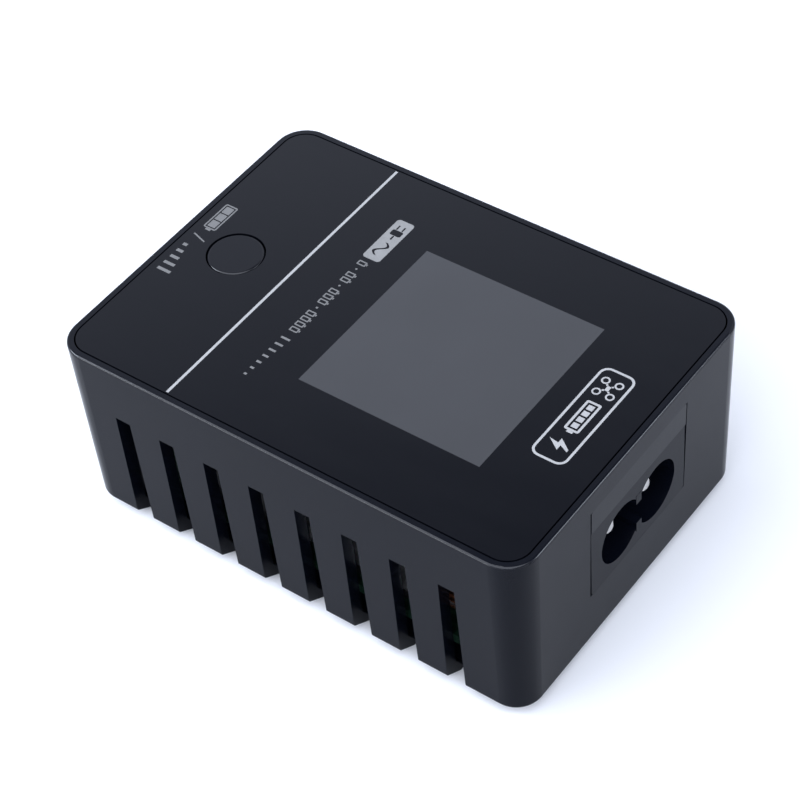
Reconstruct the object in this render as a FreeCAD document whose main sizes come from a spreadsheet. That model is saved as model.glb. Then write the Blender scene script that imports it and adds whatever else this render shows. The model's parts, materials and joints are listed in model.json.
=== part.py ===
import FreeCAD, Part
import math
import os
import re
import Sketcher

# Pocket-size balance battery charger with a mains inlet.
# Frame: origin at the middle of the underside, +X towards the mains inlet end,
# -Y the near vented side, +Z up.  Millimetres.

Vector = FreeCAD.Vector

doc = FreeCAD.newDocument("BalanceCharger")
sheet = doc.addObject("Spreadsheet::Sheet", "Sizes")

DRIVING_SIZES = [
    # case
    ("case_length", 74.0),
    ("case_width", 52.9),
    ("case_height", 30.35),
    ("case_draft", 1.24),
    ("corner_radius", 4.5),
    ("base_rise", 2.0),
    ("base_run", 3.0),
    ("base_round", 0.6),
    ("wall", 2.0),
    ("floor_thickness", 2.0),
    ("hollow_radius", 1.4),
    ("rim_width", 1.0),
    ("rim_round", 0.35),
    # vents
    ("vent_pitch", 7.5),
    ("vent_count", 8),
    ("vent_width_top", 2.45),
    ("vent_width_low", 3.0),
    ("vent_top", 21.15),
    ("vent_depth", 4.4),
    ("vent_shift", -0.5),
    # rating label
    ("label_length", 40.0),
    ("label_width", 26.0),
    ("label_thickness", 0.15),
    ("label_round", 1.5),
    ("label_gap", 0.3),
    ("label_recess", 0.35),
    # top panel stack, from the top down
    ("panel_gap", 0.22),
    ("panel_thickness", 0.8),
    ("tape_thickness", 0.15),
    ("tape_inset", 0.5),
    ("cover_thickness", 1.5),
    ("window_side", 28.3),
    ("window_x", 8.73),
    # button
    ("button_x", -27.15),
    ("button_radius", 3.95),
    ("button_gap", 0.17),
    ("button_edge", 0.3),
    ("button_drop", 0.02),
    ("button_travel", 0.3),
    ("button_flange_radius", 4.9),
    ("button_flange_gap", 0.1),
    ("button_flange_thickness", 0.7),
    ("button_stub_radius", 1.5),
    # push switch
    ("switch_side", 4.5),
    ("switch_height", 1.1),
    ("switch_well_radius", 1.9),
    ("switch_well_floor", 0.3),
    ("switch_plate_side", 4.4),
    ("switch_plate_thickness", 0.4),
    ("switch_mouth_radius", 1.3),
    ("switch_leg_length", 0.9),
    ("switch_leg_width", 0.5),
    ("switch_leg_thickness", 0.15),
    ("switch_leg_x", 2.72),
    ("switch_leg_y", 1.5),
    ("plunger_low", 0.8),
    ("plunger_radius", 1.25),
    ("plunger_foot_radius", 1.7),
    ("plunger_foot_height", 0.25),
    ("plunger_spare", 0.2),
    ("dome_ball_radius", 3.7),
    ("dome_radius", 1.75),
    ("dome_rise", 0.44),
    ("dome_skin", 0.08),
    ("dome_top", 0.76),
    # display
    ("lcd_length", 33.7),
    ("lcd_width", 31.5),
    ("lcd_below_cover", 0.3),
    ("lcd_glass_thickness", 1.0),
    ("lcd_glass_margin_x", 1.1),
    ("lcd_glass_margin_y", 0.8),
    ("lcd_frame_thickness", 1.6),
    ("lcd_frame_floor", 0.8),
    ("lcd_glass_gap", 0.1),
    ("lcd_cover_gap", 0.2),
    ("gasket_margin", 0.1),
    ("gasket_gap", 0.01),
    ("gasket_clear", 0.3),
    ("holder_cut", 7.0),
    ("holder_wall", 1.2),
    ("flex_width", 12.0),
    ("flex_thickness", 0.12),
    ("flex_lap", 3.3),
    ("flex_gap", 0.01),
    # screw posts and case screws
    ("post_x", 31.5),
    ("post_y", 20.9),
    ("post_radius", 3.2),
    ("post_height", 16.0),
    ("boss_radius", 2.5),
    ("boss_gap", 0.1),
    ("boss_pilot_depth", 9.0),
    ("boss_pilot_gap", 0.03),
    ("screw_bore_radius", 1.3),
    ("screw_well_gap", 0.2),
    ("screw_seat", 14.0),
    ("screw_head_radius", 2.1),
    ("screw_head_height", 1.5),
    ("screw_shank_radius", 1.15),
    ("screw_length", 9.0),
    ("drive_length", 2.2),
    ("drive_width", 0.55),
    ("drive_depth", 0.7),
    # boards, their stands and their screws
    ("board_z", 6.0),
    ("board_thickness", 1.6),
    ("board_length", 67.2),
    ("board_width", 46.4),
    ("board_hole_radius", 1.05),
    ("notch_gap", 0.4),
    ("stand_radius", 2.3),
    ("stand_pilot_radius", 0.8),
    ("stand_pilot_depth", 4.4),
    ("board_screw_head_radius", 1.75),
    ("board_screw_head_height", 1.3),
    ("board_screw_radius", 0.75),
    ("board_screw_length", 4.6),
    ("control_z", 23.6),
    ("control_thickness", 1.0),
    ("control_length", 52.0),
    ("control_width", 44.0),
    ("control_end_x", 19.0),
    ("control_stand_radius", 1.9),
    ("control_pilot_radius", 0.83),
    ("control_pilot_depth", 3.3),
    ("control_screw_radius", 0.78),
    ("control_screw_length", 4.0),
    ("insulation_length", 64.0),
    ("insulation_width", 41.0),
    ("insulation_thickness", 0.4),
    ("insulation_gap", 0.02),
    ("insulation_hole_radius", 2.8),
    ("insulation_notch_gap", 0.6),
    # mains inlet
    ("inlet_width", 22.05),
    ("inlet_near_gap", 0.3),
    ("inlet_far_gap", 0.14),
    ("inlet_high_gap", 0.03),
    ("inlet_fit", 0.03),
    ("inlet_inset", 0.3),
    ("inlet_band_low", 22.7),
    ("inlet_band_inset", 0.03),
    ("inlet_face_step", 0.1),
    ("inlet_face_rise", 0.04),
    ("inlet_rib_width", 1.2),
    ("inlet_rib_height", 1.6),
    ("inlet_waist", 3.6),
    ("inlet_corner", 0.4),
    ("inlet_low", 10.63),
    ("inlet_high", 26.74),
    ("inlet_y", 0.55),
    ("inlet_depth", 16.5),
    ("inlet_leg_width", 3.0),
    ("inlet_leg_setback", 3.5),
    ("inlet_lobe_radius", 4.5),
    ("inlet_lobe_offset", 4.12),
    ("inlet_z", 16.35),
    ("inlet_recess", 10.4),
    ("inlet_pin_radius", 1.18),
    ("inlet_pin_round", 0.6),
    ("inlet_root_radius", 0.9),
    ("inlet_pin_offset", 4.3),
    ("inlet_pin_setback", 1.5),
    ("terminal_gap", 0.6),
    ("terminal_thickness", 0.6),
    ("terminal_width", 2.4),
    ("terminal_rise", 1.2),
    # output socket
    ("output_y", 8.4),
    ("output_z", 12.2),
    ("nose_inset", 0.6),
    ("nose_width", 13.7),
    ("nose_height", 6.0),
    ("nose_key", 2.4),
    ("nose_round", 0.5),
    ("mate_width", 16.8),
    ("mate_height", 8.9),
    ("mate_corner", 1.0),
    ("collar_wall", 1.0),
    ("collar_corner", 1.6),
    ("collar_end", 8.4),
    ("collar_length", 7.0),
    ("socket_gap", 0.05),
    ("socket_base_thickness", 3.4),
    ("socket_base_side", 0.6),
    ("socket_base_rise", 0.3),
    ("contact_pitch", 7.2),
    ("contact_bore_radius", 1.75),
    ("contact_radius", 2.3),
    ("contact_depth", 8.0),
    ("contact_setback", 0.4),
    ("contact_tail_thickness", 1.2),
    ("contact_tail_width", 2.6),
    ("contact_tail_rise", 1.6),
    # balance header
    ("balance_y", -10.0),
    ("balance_z", 10.6),
    ("balance_inset", 0.35),
    ("balance_width", 14.9),
    ("balance_height", 5.9),
    ("balance_depth", 9.8),
    ("balance_wall", 0.85),
    ("balance_gap", 0.1),
    ("balance_cavity", 7.0),
    ("balance_key_width", 1.4),
    ("balance_key_offset", 4.4),
    ("balance_key_depth", 5.5),
    ("balance_foot", 1.6),
    ("balance_pitch", 2.5),
    ("balance_pin", 0.64),
    ("balance_pin_setback", 1.2),
    ("balance_pin_overhang", 0.6),
    ("balance_ways", 5),
    # leads and tails
    ("tail", 1.2),
    ("tail_gap", 0.1),
    ("pin_hole_radius", 0.5),
    # transformer
    ("core_x", 8.25),
    ("core_y", -13.6),
    ("core_z", 14.2),
    ("core_width", 16.1),
    ("core_length", 14.4),
    ("core_depth", 4.7),
    ("core_leg", 4.2),
    ("core_window_width", 3.75),
    ("core_window_length", 10.2),
    ("bobbin_gap", 0.05),
    ("bobbin_width", 5.6),
    ("bobbin_length", 10.0),
    ("bobbin_height", 6.2),
    ("bobbin_flange_width", 11.4),
    ("bobbin_flange_height", 12.0),
    ("bobbin_flange", 0.8),
    ("bobbin_rail_width", 3.0),
    ("bobbin_rail_height", 3.9),
    ("bobbin_rail_offset", 6.5),
    ("bobbin_link_length", 8.0),
    ("bobbin_link_offset", 4.7),
    ("winding_width", 11.2),
    ("winding_length", 8.3),
    ("winding_height", 11.6),
    ("winding_round", 1.2),
    # smoothing capacitor
    ("bulk_x", -3.4),
    ("bulk_y", 14.2),
    ("bulk_radius", 6.25),
    ("bulk_length", 20.0),
    ("bulk_lift", 0.1),
    ("crimp_start", 2.2),
    ("crimp_depth", 0.5),
    ("crimp_floor", 0.7),
    ("bulk_end_round", 0.6),
    # mains choke
    ("choke_x", 24.2),
    ("choke_y", -16.9),
    ("choke_lift", 6.4),
    ("ring_radius", 5.0),
    ("ring_bore", 2.9),
    ("ring_depth", 4.6),
    ("choke_coil", 0.9),
    ("choke_coil_gap", 0.02),
    ("choke_coil_width", 5.2),
    ("choke_coil_offset", 3.4),
    ("choke_coil_height", 9.4),
    # round capacitors
    ("disc_x", 9.5),
    ("disc_y", -0.4),
    ("disc_lift", 4.4),
    ("disc_radius", 3.7),
    ("disc_thickness", 3.6),
    ("disc_round", 1.2),
    ("can_x", -12.2),
    ("can_y", 8.9),
    ("can_pitch", 8.6),
    ("can_radius", 4.0),
    ("can_height", 12.0),
    ("can_lift", 0.2),
    ("can_round", 0.5),
    # details of the boxed parts
    ("film_round", 0.5),
    ("fuse_round", 0.6),
    ("bridge_lift", 0.6),
    ("bridge_leg_thickness", 0.6),
    ("bridge_leg_width", 0.8),
    ("bridge_leg_pitch", 3.4),
    ("sink_wing_length", 20.0),
    ("sink_wing_height", 9.4),
    ("sink_wing_lift", 4.0),
    ("sink_gap", 0.05),
    ("transistor_lift", 0.4),
    ("transistor_tab", 1.2),
    ("transistor_tab_height", 12.6),
    ("diode_tab_width", 1.6),
    ("diode_tab_height", 1.2),
    ("inductor_round", 1.6),
    ("charge_fet_pitch", 14.6),
    ("resistor_pitch", 3.0),
    ("chip_lift", 0.1),
    ("chip_leg_length", 0.9),
    ("chip_leg_width", 0.4),
    ("chip_leg_thickness", 0.2),
    ("chip_leg_offset", 0.4),
    ("chip_knee_offset", 0.08),
    # board-to-board header
    ("header_x", -11.3),
    ("header_y", 20.7),
    ("header_ways", 6),
    ("header_pitch", 2.54),
    ("header_width", 2.5),
    ("header_strip_height", 2.5),
    ("header_socket_height", 8.5),
    ("header_pin", 0.64),
    ("header_pin_rise", 0.6),
    # buzzer
    ("buzzer_x", -19.5),
    ("buzzer_y", -9.0),
    ("buzzer_radius", 4.5),
    ("buzzer_height", 4.4),
    ("buzzer_mouth", 0.9),
    # how far a cutter runs past a face, and how far a pad starts inside what it joins
    ("through", 1.0),
    ("overlap", 0.5),
]

# Boxed parts of the boards: length along X, width along Y, height, and the middle's x and y.
BOXED_PARTS = [
    ("film", 7.4, 10.4, 12.0, 24.2, 17.6),
    ("fuse", 3.8, 6.0, 7.8, 31.2, -14.2),
    ("bridge", 3.4, 12.0, 10.6, 15.9, 1.6),
    ("sink", 1.2, 18.5, 13.4, -1.55, -13.95),
    ("transistor", 3.2, 9.8, 8.6, -5.0, -11.2),
    ("isolator", 6.4, 4.6, 3.4, 2.2, 2.0),
    ("driver", 4.0, 4.9, 1.5, -5.6, 3.4),
    ("charge_fet", 4.0, 4.9, 1.5, -20.6, 7.7),
    ("diode", 9.0, 8.4, 4.4, -12.6, -16.4),
    ("inductor", 9.6, 9.6, 4.6, -12.6, -6.2),
    ("resistor", 3.2, 2.2, 0.6, -21.4, -10.9),
    ("shunt", 3.2, 6.3, 0.8, -20.6, 8.4),
    ("controller", 7.0, 7.0, 1.4, -8.0, 2.0),
    ("flex_socket", 2.4, 14.0, 1.0, -12.82, 0.0),
]
for part_name, *amounts in BOXED_PARTS:
    for word, amount in zip(("length", "width", "height", "x", "y"), amounts):
        DRIVING_SIZES.append((part_name + "_" + word, amount))

for row, (alias, amount) in enumerate(DRIVING_SIZES, start=1):
    sheet.set("A%d" % row, alias)
    sheet.set("B%d" % row, str(amount))
    sheet.setAlias("B%d" % row, alias)
doc.recompute()

ALIASES = {alias for alias, _ in DRIVING_SIZES}
nodes = []


def bound(text):
    """Write the sheet's name in front of each alias of a formula."""
    def with_sheet(match):
        word = match.group()
        return "Sizes." + word if word in ALIASES else word
    return re.sub(r"[a-z][a-z_]+", with_sheet, text)


def value(text):
    """The number that a formula stands for."""
    return float(sheet.evalExpression(bound(text)))


def bind(item, **formulas):
    """Bind properties to the sheet."""
    for name, text in formulas.items():
        item.setExpression(name, bound(text))


def place(item, at):
    """Bind the place of an object, leaving its rotation."""
    for axis, text in zip("xyz", at):
        item.setExpression("Placement.Base." + axis, bound(text))


def node(item, name):
    """Name a finished piece; the label is the file's name."""
    item.Label = name
    nodes.append(item)
    return item


# ---------------------------------------------------------------- places that follow from the sheet

ORIGIN = ("0", "0")
PANEL_LOW = "(case_height - panel_thickness)"
TAPE_LOW = "(case_height - panel_thickness - tape_thickness)"
COVER_LOW = "(case_height - panel_thickness - tape_thickness - cover_thickness)"
BOARD_TOP = "(board_z + board_thickness)"
CONTROL_TOP = "(control_z + control_thickness)"
PLUNGER_TOP = "(%s + switch_height + switch_plate_thickness + button_travel + plunger_spare)" % CONTROL_TOP
WINDOW_MIDDLE = ("window_x", "0")
BUTTON_MIDDLE = ("button_x", "0")
INLET_FACE = "(case_length / 2 - inlet_inset)"
NOSE_TIP = "(nose_inset - case_length / 2)"
COLLAR_END = "(collar_end - case_length / 2)"
SOCKET_FACE = "(%s + socket_gap)" % COLLAR_END
SHELL_FACE = "(balance_inset - case_length / 2)"
BALANCE_DROP_X = "(%s + balance_pin_setback + balance_depth + balance_pin_overhang)" % SHELL_FACE
CORNERS = [(sx, sy) for sx in (-1, 1) for sy in (-1, 1)]
BOARD_STANDS = [("-22.5", "-19.8"), ("-22.5", "19.8"), ("-4", "-20.8"), ("18", "21")]
CONTROL_STANDS = [("-22.5", "-19.2"), ("-22.5", "19.2"), ("14", "-19.2"), ("14", "19.2")]
BALANCE_WAYS = range(int(value("balance_ways")))
HEADER_WAYS = range(int(value("header_ways")))


def post_middle(sx, sy):
    return ("%d * post_x" % sx, "%d * post_y" % sy)


def pin_y(side):
    return "(inlet_y + %d * inlet_pin_offset)" % side


def contact_y(pole):
    return "(output_y + %d * contact_pitch / 2)" % pole


def balance_y(way):
    return "(balance_y + (%d - (balance_ways - 1) / 2) * balance_pitch)" % way


def header_middle(way):
    return ("(header_x + (%d - (header_ways - 1) / 2) * header_pitch)" % way, "header_y")


# ---------------------------------------------------------------- Part primitives and booleans

def block(name, size, middle, low):
    """Box of a given size, centred on middle = (x, y), standing at height low."""
    length, width, height = size
    x, y = middle
    box = doc.addObject("Part::Box", name)
    bind(box, Length=length, Width=width, Height=height)
    place(box, ("%s - (%s) / 2" % (x, length), "%s - (%s) / 2" % (y, width), low))
    return box


def boxed(name, part, low, middle=None):
    """Box with the size, and unless another is given the place, that the sheet holds for a part."""
    size = (part + "_length", part + "_width", part + "_height")
    return block(name, size, middle or (part + "_x", part + "_y"), low)


TURN = {
    "Z": FreeCAD.Rotation(),
    "X": FreeCAD.Rotation(Vector(0, 1, 0), 90),
    "-X": FreeCAD.Rotation(Vector(0, 1, 0), -90),
    "Y": FreeCAD.Rotation(Vector(1, 0, 0), -90),
}


def rod(name, radius, length, start, axis="Z"):
    """Cylinder from a start point along an axis."""
    cylinder = doc.addObject("Part::Cylinder", name)
    bind(cylinder, Radius=radius, Height=length)
    cylinder.Placement = FreeCAD.Placement(Vector(), TURN[axis])
    place(cylinder, start)
    return cylinder


def board_cutter(name, radius, middle):
    """Upright cylinder that runs through the power board."""
    return rod(name, radius, "board_thickness + 2 * through", middle + ("board_z - through",))


def control_cutter(name, radius, middle):
    """Upright cylinder that runs through the control board."""
    return rod(name, radius, "control_thickness + 2 * through", middle + ("control_z - through",))


def fuse(name, pieces):
    joined = doc.addObject("Part::MultiFuse", name)
    joined.Shapes = pieces
    joined.Refine = True
    return joined


def cut(name, base, tools):
    result = doc.addObject("Part::Cut", name)
    result.Base = base
    result.Tool = tools[0] if len(tools) == 1 else fuse(name + "Tools", tools)
    result.Refine = True
    return result


def common(name, base, tool):
    result = doc.addObject("Part::Common", name)
    result.Base = base
    result.Tool = tool
    return result


def group(name, pieces):
    """Separate solids that share one node."""
    compound = doc.addObject("Part::Compound", name)
    compound.Links = pieces
    return compound


def rounded(name, base, radius, choose):
    """Fillet the edges of base that pass a test."""
    doc.recompute()
    fillet = doc.addObject("Part::Fillet", name)
    fillet.Base = base
    size = value(radius)
    fillet.Edges = [(i, size, size) for i, edge in enumerate(base.Shape.Edges, start=1) if choose(edge)]
    doc.recompute()
    return fillet


def is_along(axis):
    """Test for straight edges that run along an axis."""
    def test(edge):
        span = edge.Vertexes[-1].Point - edge.Vertexes[0].Point
        return span.Length > 1e-6 and abs(abs(span.normalize() * axis) - 1) < 0.02
    return test


def is_closed(edge):
    return edge.Closed


def at_height(z):
    """Test for edges that lie at one height."""
    def test(edge):
        return abs(edge.BoundBox.ZMin - z) < 1e-4 and abs(edge.BoundBox.ZMax - z) < 1e-4
    return test


is_upright = is_along(Vector(0, 0, 1))


# ---------------------------------------------------------------- PartDesign helpers

def new_body(name):
    return doc.addObject("PartDesign::Body", name)


def sketch_on(body, role, name, offset=None):
    """Sketch on an origin plane of its own body, at an offset along the plane's normal."""
    sketch = body.newObject("Sketcher::SketchObject", name)
    plane = [item for item in body.Origin.OriginFeatures if item.Role == role][0]
    sketch.AttachmentSupport = [(plane, "")]
    sketch.MapMode = "FlatFace"
    if offset is not None:
        sketch.setExpression("AttachmentOffset.Base.z", bound(offset))
    return sketch


def fix(sketch, kind, geometry, amount):
    """Hold a size of the sketch at a formula of the sheet."""
    index = sketch.addConstraint(Sketcher.Constraint(kind, *geometry, value(amount)))
    sketch.setExpression("Constraints[%d]" % index, bound(amount))


def fix_point(sketch, item, point, at):
    """Hold a point of an item of geometry at a formula's place."""
    fix(sketch, "DistanceX", (-1, 1, item, point), at[0])
    fix(sketch, "DistanceY", (-1, 1, item, point), at[1])


START, END, CENTRE = 1, 2, 3


def add_outline(sketch, corners):
    """Closed outline of straight lines; every corner is bound to the sheet."""
    points = [Vector(value(x), value(y), 0) for x, y in corners]
    first = sketch.GeometryCount
    count = len(points)
    for i in range(count):
        sketch.addGeometry(Part.LineSegment(points[i], points[(i + 1) % count]), False)
    for i in range(count):
        following = first + (i + 1) % count
        sketch.addConstraint(Sketcher.Constraint("Coincident", first + i, END, following, START))
    for i, corner in enumerate(corners):
        fix_point(sketch, first + i, START, corner)


def add_rectangle(sketch, length, width, middle=ORIGIN):
    x, y = middle
    left = "%s - (%s) / 2" % (x, length)
    right = "%s + (%s) / 2" % (x, length)
    low = "%s - (%s) / 2" % (y, width)
    high = "%s + (%s) / 2" % (y, width)
    add_outline(sketch, [(left, low), (right, low), (right, high), (left, high)])


def add_rounded_rectangle(sketch, length, width, radius, middle=ORIGIN):
    """Rectangle with tangent corner arcs; arc centres and radii are bound to the sheet."""
    r = value(radius)
    signs = [(1, 1), (-1, 1), (-1, -1), (1, -1)]
    middles = [("%s + %d * ((%s) / 2 - (%s))" % (middle[0], sx, length, radius),
                "%s + %d * ((%s) / 2 - (%s))" % (middle[1], sy, width, radius)) for sx, sy in signs]
    centres = [Vector(value(x), value(y), 0) for x, y in middles]
    first = sketch.GeometryCount
    quarter = math.pi / 2
    for i, centre in enumerate(centres):
        circle = Part.Circle(centre, Vector(0, 0, 1), r)
        sketch.addGeometry(Part.ArcOfCircle(circle, i * quarter, (i + 1) * quarter), False)
    for i, centre in enumerate(centres):
        out = Vector(math.cos((i + 1) * quarter), math.sin((i + 1) * quarter), 0) * r
        sketch.addGeometry(Part.LineSegment(centre + out, centres[(i + 1) % 4] + out), False)
    for i, place_of_arc in enumerate(middles):
        fix(sketch, "Radius", (first + i,), radius)
        fix_point(sketch, first + i, CENTRE, place_of_arc)
    for i in range(4):
        line = first + 4 + i
        sketch.addConstraint(Sketcher.Constraint("Tangent", first + i, END, line, START))
        sketch.addConstraint(Sketcher.Constraint("Tangent", line, END, first + (i + 1) % 4, START))


def add_circle(sketch, radius, middle):
    centre = Vector(value(middle[0]), value(middle[1]), 0)
    ring = sketch.addGeometry(Part.Circle(centre, Vector(0, 0, 1), value(radius)), False)
    fix(sketch, "Radius", (ring,), radius)
    fix_point(sketch, ring, CENTRE, middle)


def volume(body):
    return 0.0 if body.Shape.isNull() else body.Shape.Volume


def extrude(body, kind, sketch, length, reverse, taper):
    feature = body.newObject("PartDesign::" + kind, sketch.Name + kind)
    feature.Profile = sketch
    feature.Reversed = reverse
    bind(feature, Length=length)
    if taper is not None:
        bind(feature, TaperAngle=taper)
    doc.recompute()
    return feature


def pad(body, sketch, length, reverse=False, taper=None):
    before = volume(body)
    feature = extrude(body, "Pad", sketch, length, reverse, taper)
    assert volume(body) > before, feature.Name + " added nothing"
    return feature


def pocket(body, sketch, depth, reverse=False, taper=None):
    before = volume(body)
    feature = extrude(body, "Pocket", sketch, depth, reverse, taper)
    assert volume(body) < before, feature.Name + " cut nothing"
    return feature


def turn(body, profile, axis):
    """Turn a profile all the way about one of its own axes."""
    feature = body.newObject("PartDesign::Revolution", profile.Name + "Turned")
    feature.Profile = profile
    feature.ReferenceAxis = (profile, [axis])
    feature.Angle = 360
    doc.recompute()
    return feature


def soften(body, name, radius, choose):
    """Fillet the chosen edges of the body so far."""
    base = body.Tip
    edges = ["Edge%d" % i for i, edge in enumerate(base.Shape.Edges, start=1) if choose(edge)]
    assert edges, name + " found no edges"
    feature = body.newObject("PartDesign::Fillet", name)
    feature.Base = (base, edges)
    bind(feature, Radius=radius)
    doc.recompute()
    assert "Invalid" not in feature.State, name + " failed"
    return feature


def repeat_along_x(body, feature, name, count, pitch):
    pattern = body.newObject("PartDesign::LinearPattern", name)
    pattern.Originals = [feature]
    axis = [item for item in body.Origin.OriginFeatures if item.Role == "X_Axis"][0]
    pattern.Direction = (axis, [""])
    bind(pattern, Length="(%s - 1) * %s" % (count, pitch), Occurrences=count)
    body.Tip = pattern
    doc.recompute()
    return pattern


def add_circles(body, name, offset, radius, middles):
    """Sketch of equal circles, one at each middle."""
    sketch = sketch_on(body, "XY_Plane", name, offset)
    for middle in middles:
        add_circle(sketch, radius, middle)
    return sketch


POST_MIDDLES = [post_middle(sx, sy) for sx, sy in CORNERS]


# ---------------------------------------------------------------- case

def make_lower_case():
    """Deep drafted tub: side walls, floor, rim, vents, screw posts, board stands, end openings."""
    body = new_body("LowerCase")
    wall_run = "((case_height - base_rise) * tan(case_draft))"
    outline = sketch_on(body, "XY_Plane", "CaseOutline", "base_rise")
    add_rounded_rectangle(outline, "case_length - 2 * %s" % wall_run, "case_width - 2 * %s" % wall_run,
                          "corner_radius - %s" % wall_run)
    pad(body, outline, "case_height - base_rise", taper="case_draft")
    foot_run = "(%s + base_run)" % wall_run
    foot = sketch_on(body, "XY_Plane", "CaseFoot")
    add_rounded_rectangle(foot, "case_length - 2 * %s" % foot_run, "case_width - 2 * %s" % foot_run,
                          "corner_radius - %s" % foot_run)
    pad(body, foot, "base_rise", taper="atan(base_run / base_rise)")
    soften(body, "BaseRound", "base_round", at_height(value("base_rise")))
    soften(body, "RimRound", "rim_round", at_height(value("case_height")))
    hollow_out(body)
    add_posts(body)
    cut_vents(body, -1)
    cut_vents(body, 1)
    cut_end_openings(body)
    label_seat = sketch_on(body, "XY_Plane", "LabelSeat")
    add_rectangle(label_seat, "label_length + 2 * label_gap", "label_width + 2 * label_gap")
    pocket(body, label_seat, "label_recess", reverse=True)
    return node(body, "lower_case")


def hollow_out(body):
    """Drafted inside of the tub and, above it, the wider seat that takes the cover and panel."""
    hollow = sketch_on(body, "XY_Plane", "CaseHollow", "floor_thickness")
    inner_run = "((case_height - floor_thickness) * tan(case_draft))"
    add_rounded_rectangle(hollow, "case_length - 2 * wall - 2 * %s" % inner_run,
                          "case_width - 2 * wall - 2 * %s" % inner_run, "corner_radius - wall")
    pocket(body, hollow, "case_height - floor_thickness", reverse=True, taper="case_draft")
    soften(body, "HollowBase", "hollow_radius", at_height(value("floor_thickness")))
    seat = sketch_on(body, "XY_Plane", "CoverSeat", COVER_LOW)
    add_rounded_rectangle(seat, "case_length - 2 * rim_width", "case_width - 2 * rim_width",
                          "corner_radius - rim_width")
    pocket(body, seat, "case_height", reverse=True)


def add_posts(body):
    """Four screw posts with wells for the heads, and the stands of the power board."""
    root = "(floor_thickness - overlap)"
    posts = add_circles(body, "ScrewPosts", root, "post_radius", POST_MIDDLES)
    pad(body, posts, "post_height - %s" % root)
    bores = add_circles(body, "ScrewBores", None, "screw_bore_radius", POST_MIDDLES)
    pocket(body, bores, "post_height + through", reverse=True)
    wells = add_circles(body, "ScrewWells", None, "screw_head_radius + screw_well_gap", POST_MIDDLES)
    pocket(body, wells, "screw_seat", reverse=True)
    stands = add_circles(body, "BoardStands", root, "stand_radius", BOARD_STANDS)
    pad(body, stands, "board_z - %s" % root)
    pilots = add_circles(body, "StandPilots", "board_z", "stand_pilot_radius", BOARD_STANDS)
    pocket(body, pilots, "stand_pilot_depth")


def cut_vents(body, side):
    """Row of tall slots that run down through the side wall and round into the underside."""
    name = "NearVent" if side < 0 else "FarVent"
    sketch = sketch_on(body, "XZ_Plane", name, "%d * (vent_depth - case_width / 2)" % side)
    middle = "vent_shift - (vent_count - 1) * vent_pitch / 2"
    add_outline(sketch, [
        ("%s - vent_width_low / 2" % middle, "-through"),
        ("%s + vent_width_low / 2" % middle, "-through"),
        ("%s + vent_width_top / 2" % middle, "vent_top"),
        ("%s - vent_width_top / 2" % middle, "vent_top"),
    ])
    slot = pocket(body, sketch, "vent_depth + 2 * through", reverse=side < 0)
    repeat_along_x(body, slot, name + "Row", "vent_count", "vent_pitch")


def cut_end_openings(body):
    """Inlet window in one end; collared output window and balance window in the other."""
    window = sketch_on(body, "YZ_Plane", "InletWindow", "case_length / 2 - wall - 2 * through")
    add_rectangle(window, "inlet_width + inlet_near_gap + inlet_far_gap",
                  "inlet_high - inlet_low + 2 * inlet_high_gap",
                  ("inlet_y + (inlet_far_gap - inlet_near_gap) / 2", "(inlet_high + inlet_low) / 2"))
    pocket(body, window, "wall + 4 * through", reverse=True)
    collar = sketch_on(body, "YZ_Plane", "OutputCollar", COLLAR_END)
    add_rounded_rectangle(collar, "mate_width + 2 * collar_wall", "mate_height + 2 * collar_wall",
                          "collar_corner", ("output_y", "output_z"))
    pad(body, collar, "collar_length", reverse=True)
    output = sketch_on(body, "YZ_Plane", "OutputWindow", COLLAR_END + " + through")
    add_rounded_rectangle(output, "mate_width", "mate_height", "mate_corner", ("output_y", "output_z"))
    pocket(body, output, "collar_end + 2 * through")
    balance = sketch_on(body, "YZ_Plane", "BalanceWindow", "wall + 2 * through - case_length / 2")
    add_rectangle(balance, "balance_width + 2 * balance_gap", "balance_height + 2 * balance_gap",
                  ("balance_y", "balance_z"))
    pocket(body, balance, "wall + 4 * through")


def add_panel_outline(sketch, inset):
    """Outline of the layers that drop into the rim, pulled in by inset."""
    step = "(rim_width + panel_gap + %s)" % inset
    add_rounded_rectangle(sketch, "case_length - 2 * %s" % step, "case_width - 2 * %s" % step,
                          "corner_radius - %s" % step)


def make_top_cover():
    """Flat inner cover that drops into the rim; its bosses take the case and control board screws."""
    body = new_body("TopCover")
    plate = sketch_on(body, "XY_Plane", "CoverOutline", COVER_LOW)
    add_panel_outline(plate, "0")
    pad(body, plate, "cover_thickness")
    opening = sketch_on(body, "XY_Plane", "CoverWindow", COVER_LOW)
    add_rectangle(opening, "lcd_length + 2 * lcd_cover_gap", "lcd_width + 2 * lcd_cover_gap", WINDOW_MIDDLE)
    add_circle(opening, "button_radius + 2 * button_gap", BUTTON_MIDDLE)
    pocket(body, opening, "cover_thickness", reverse=True)
    boss_low = "(post_height + boss_gap)"
    bosses = add_circles(body, "CoverBosses", boss_low, "boss_radius", POST_MIDDLES)
    pad(body, bosses, "%s - %s" % (COVER_LOW, boss_low))
    pilots = add_circles(body, "BossPilots", boss_low, "screw_shank_radius + boss_pilot_gap", POST_MIDDLES)
    pocket(body, pilots, "boss_pilot_depth", reverse=True)
    stands = add_circles(body, "ControlStands", CONTROL_TOP, "control_stand_radius", CONTROL_STANDS)
    pad(body, stands, "%s - %s" % (COVER_LOW, CONTROL_TOP))
    holes = add_circles(body, "ControlPilots", CONTROL_TOP, "control_pilot_radius", CONTROL_STANDS)
    pocket(body, holes, "control_pilot_depth", reverse=True)
    return node(body, "top_cover")


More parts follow.
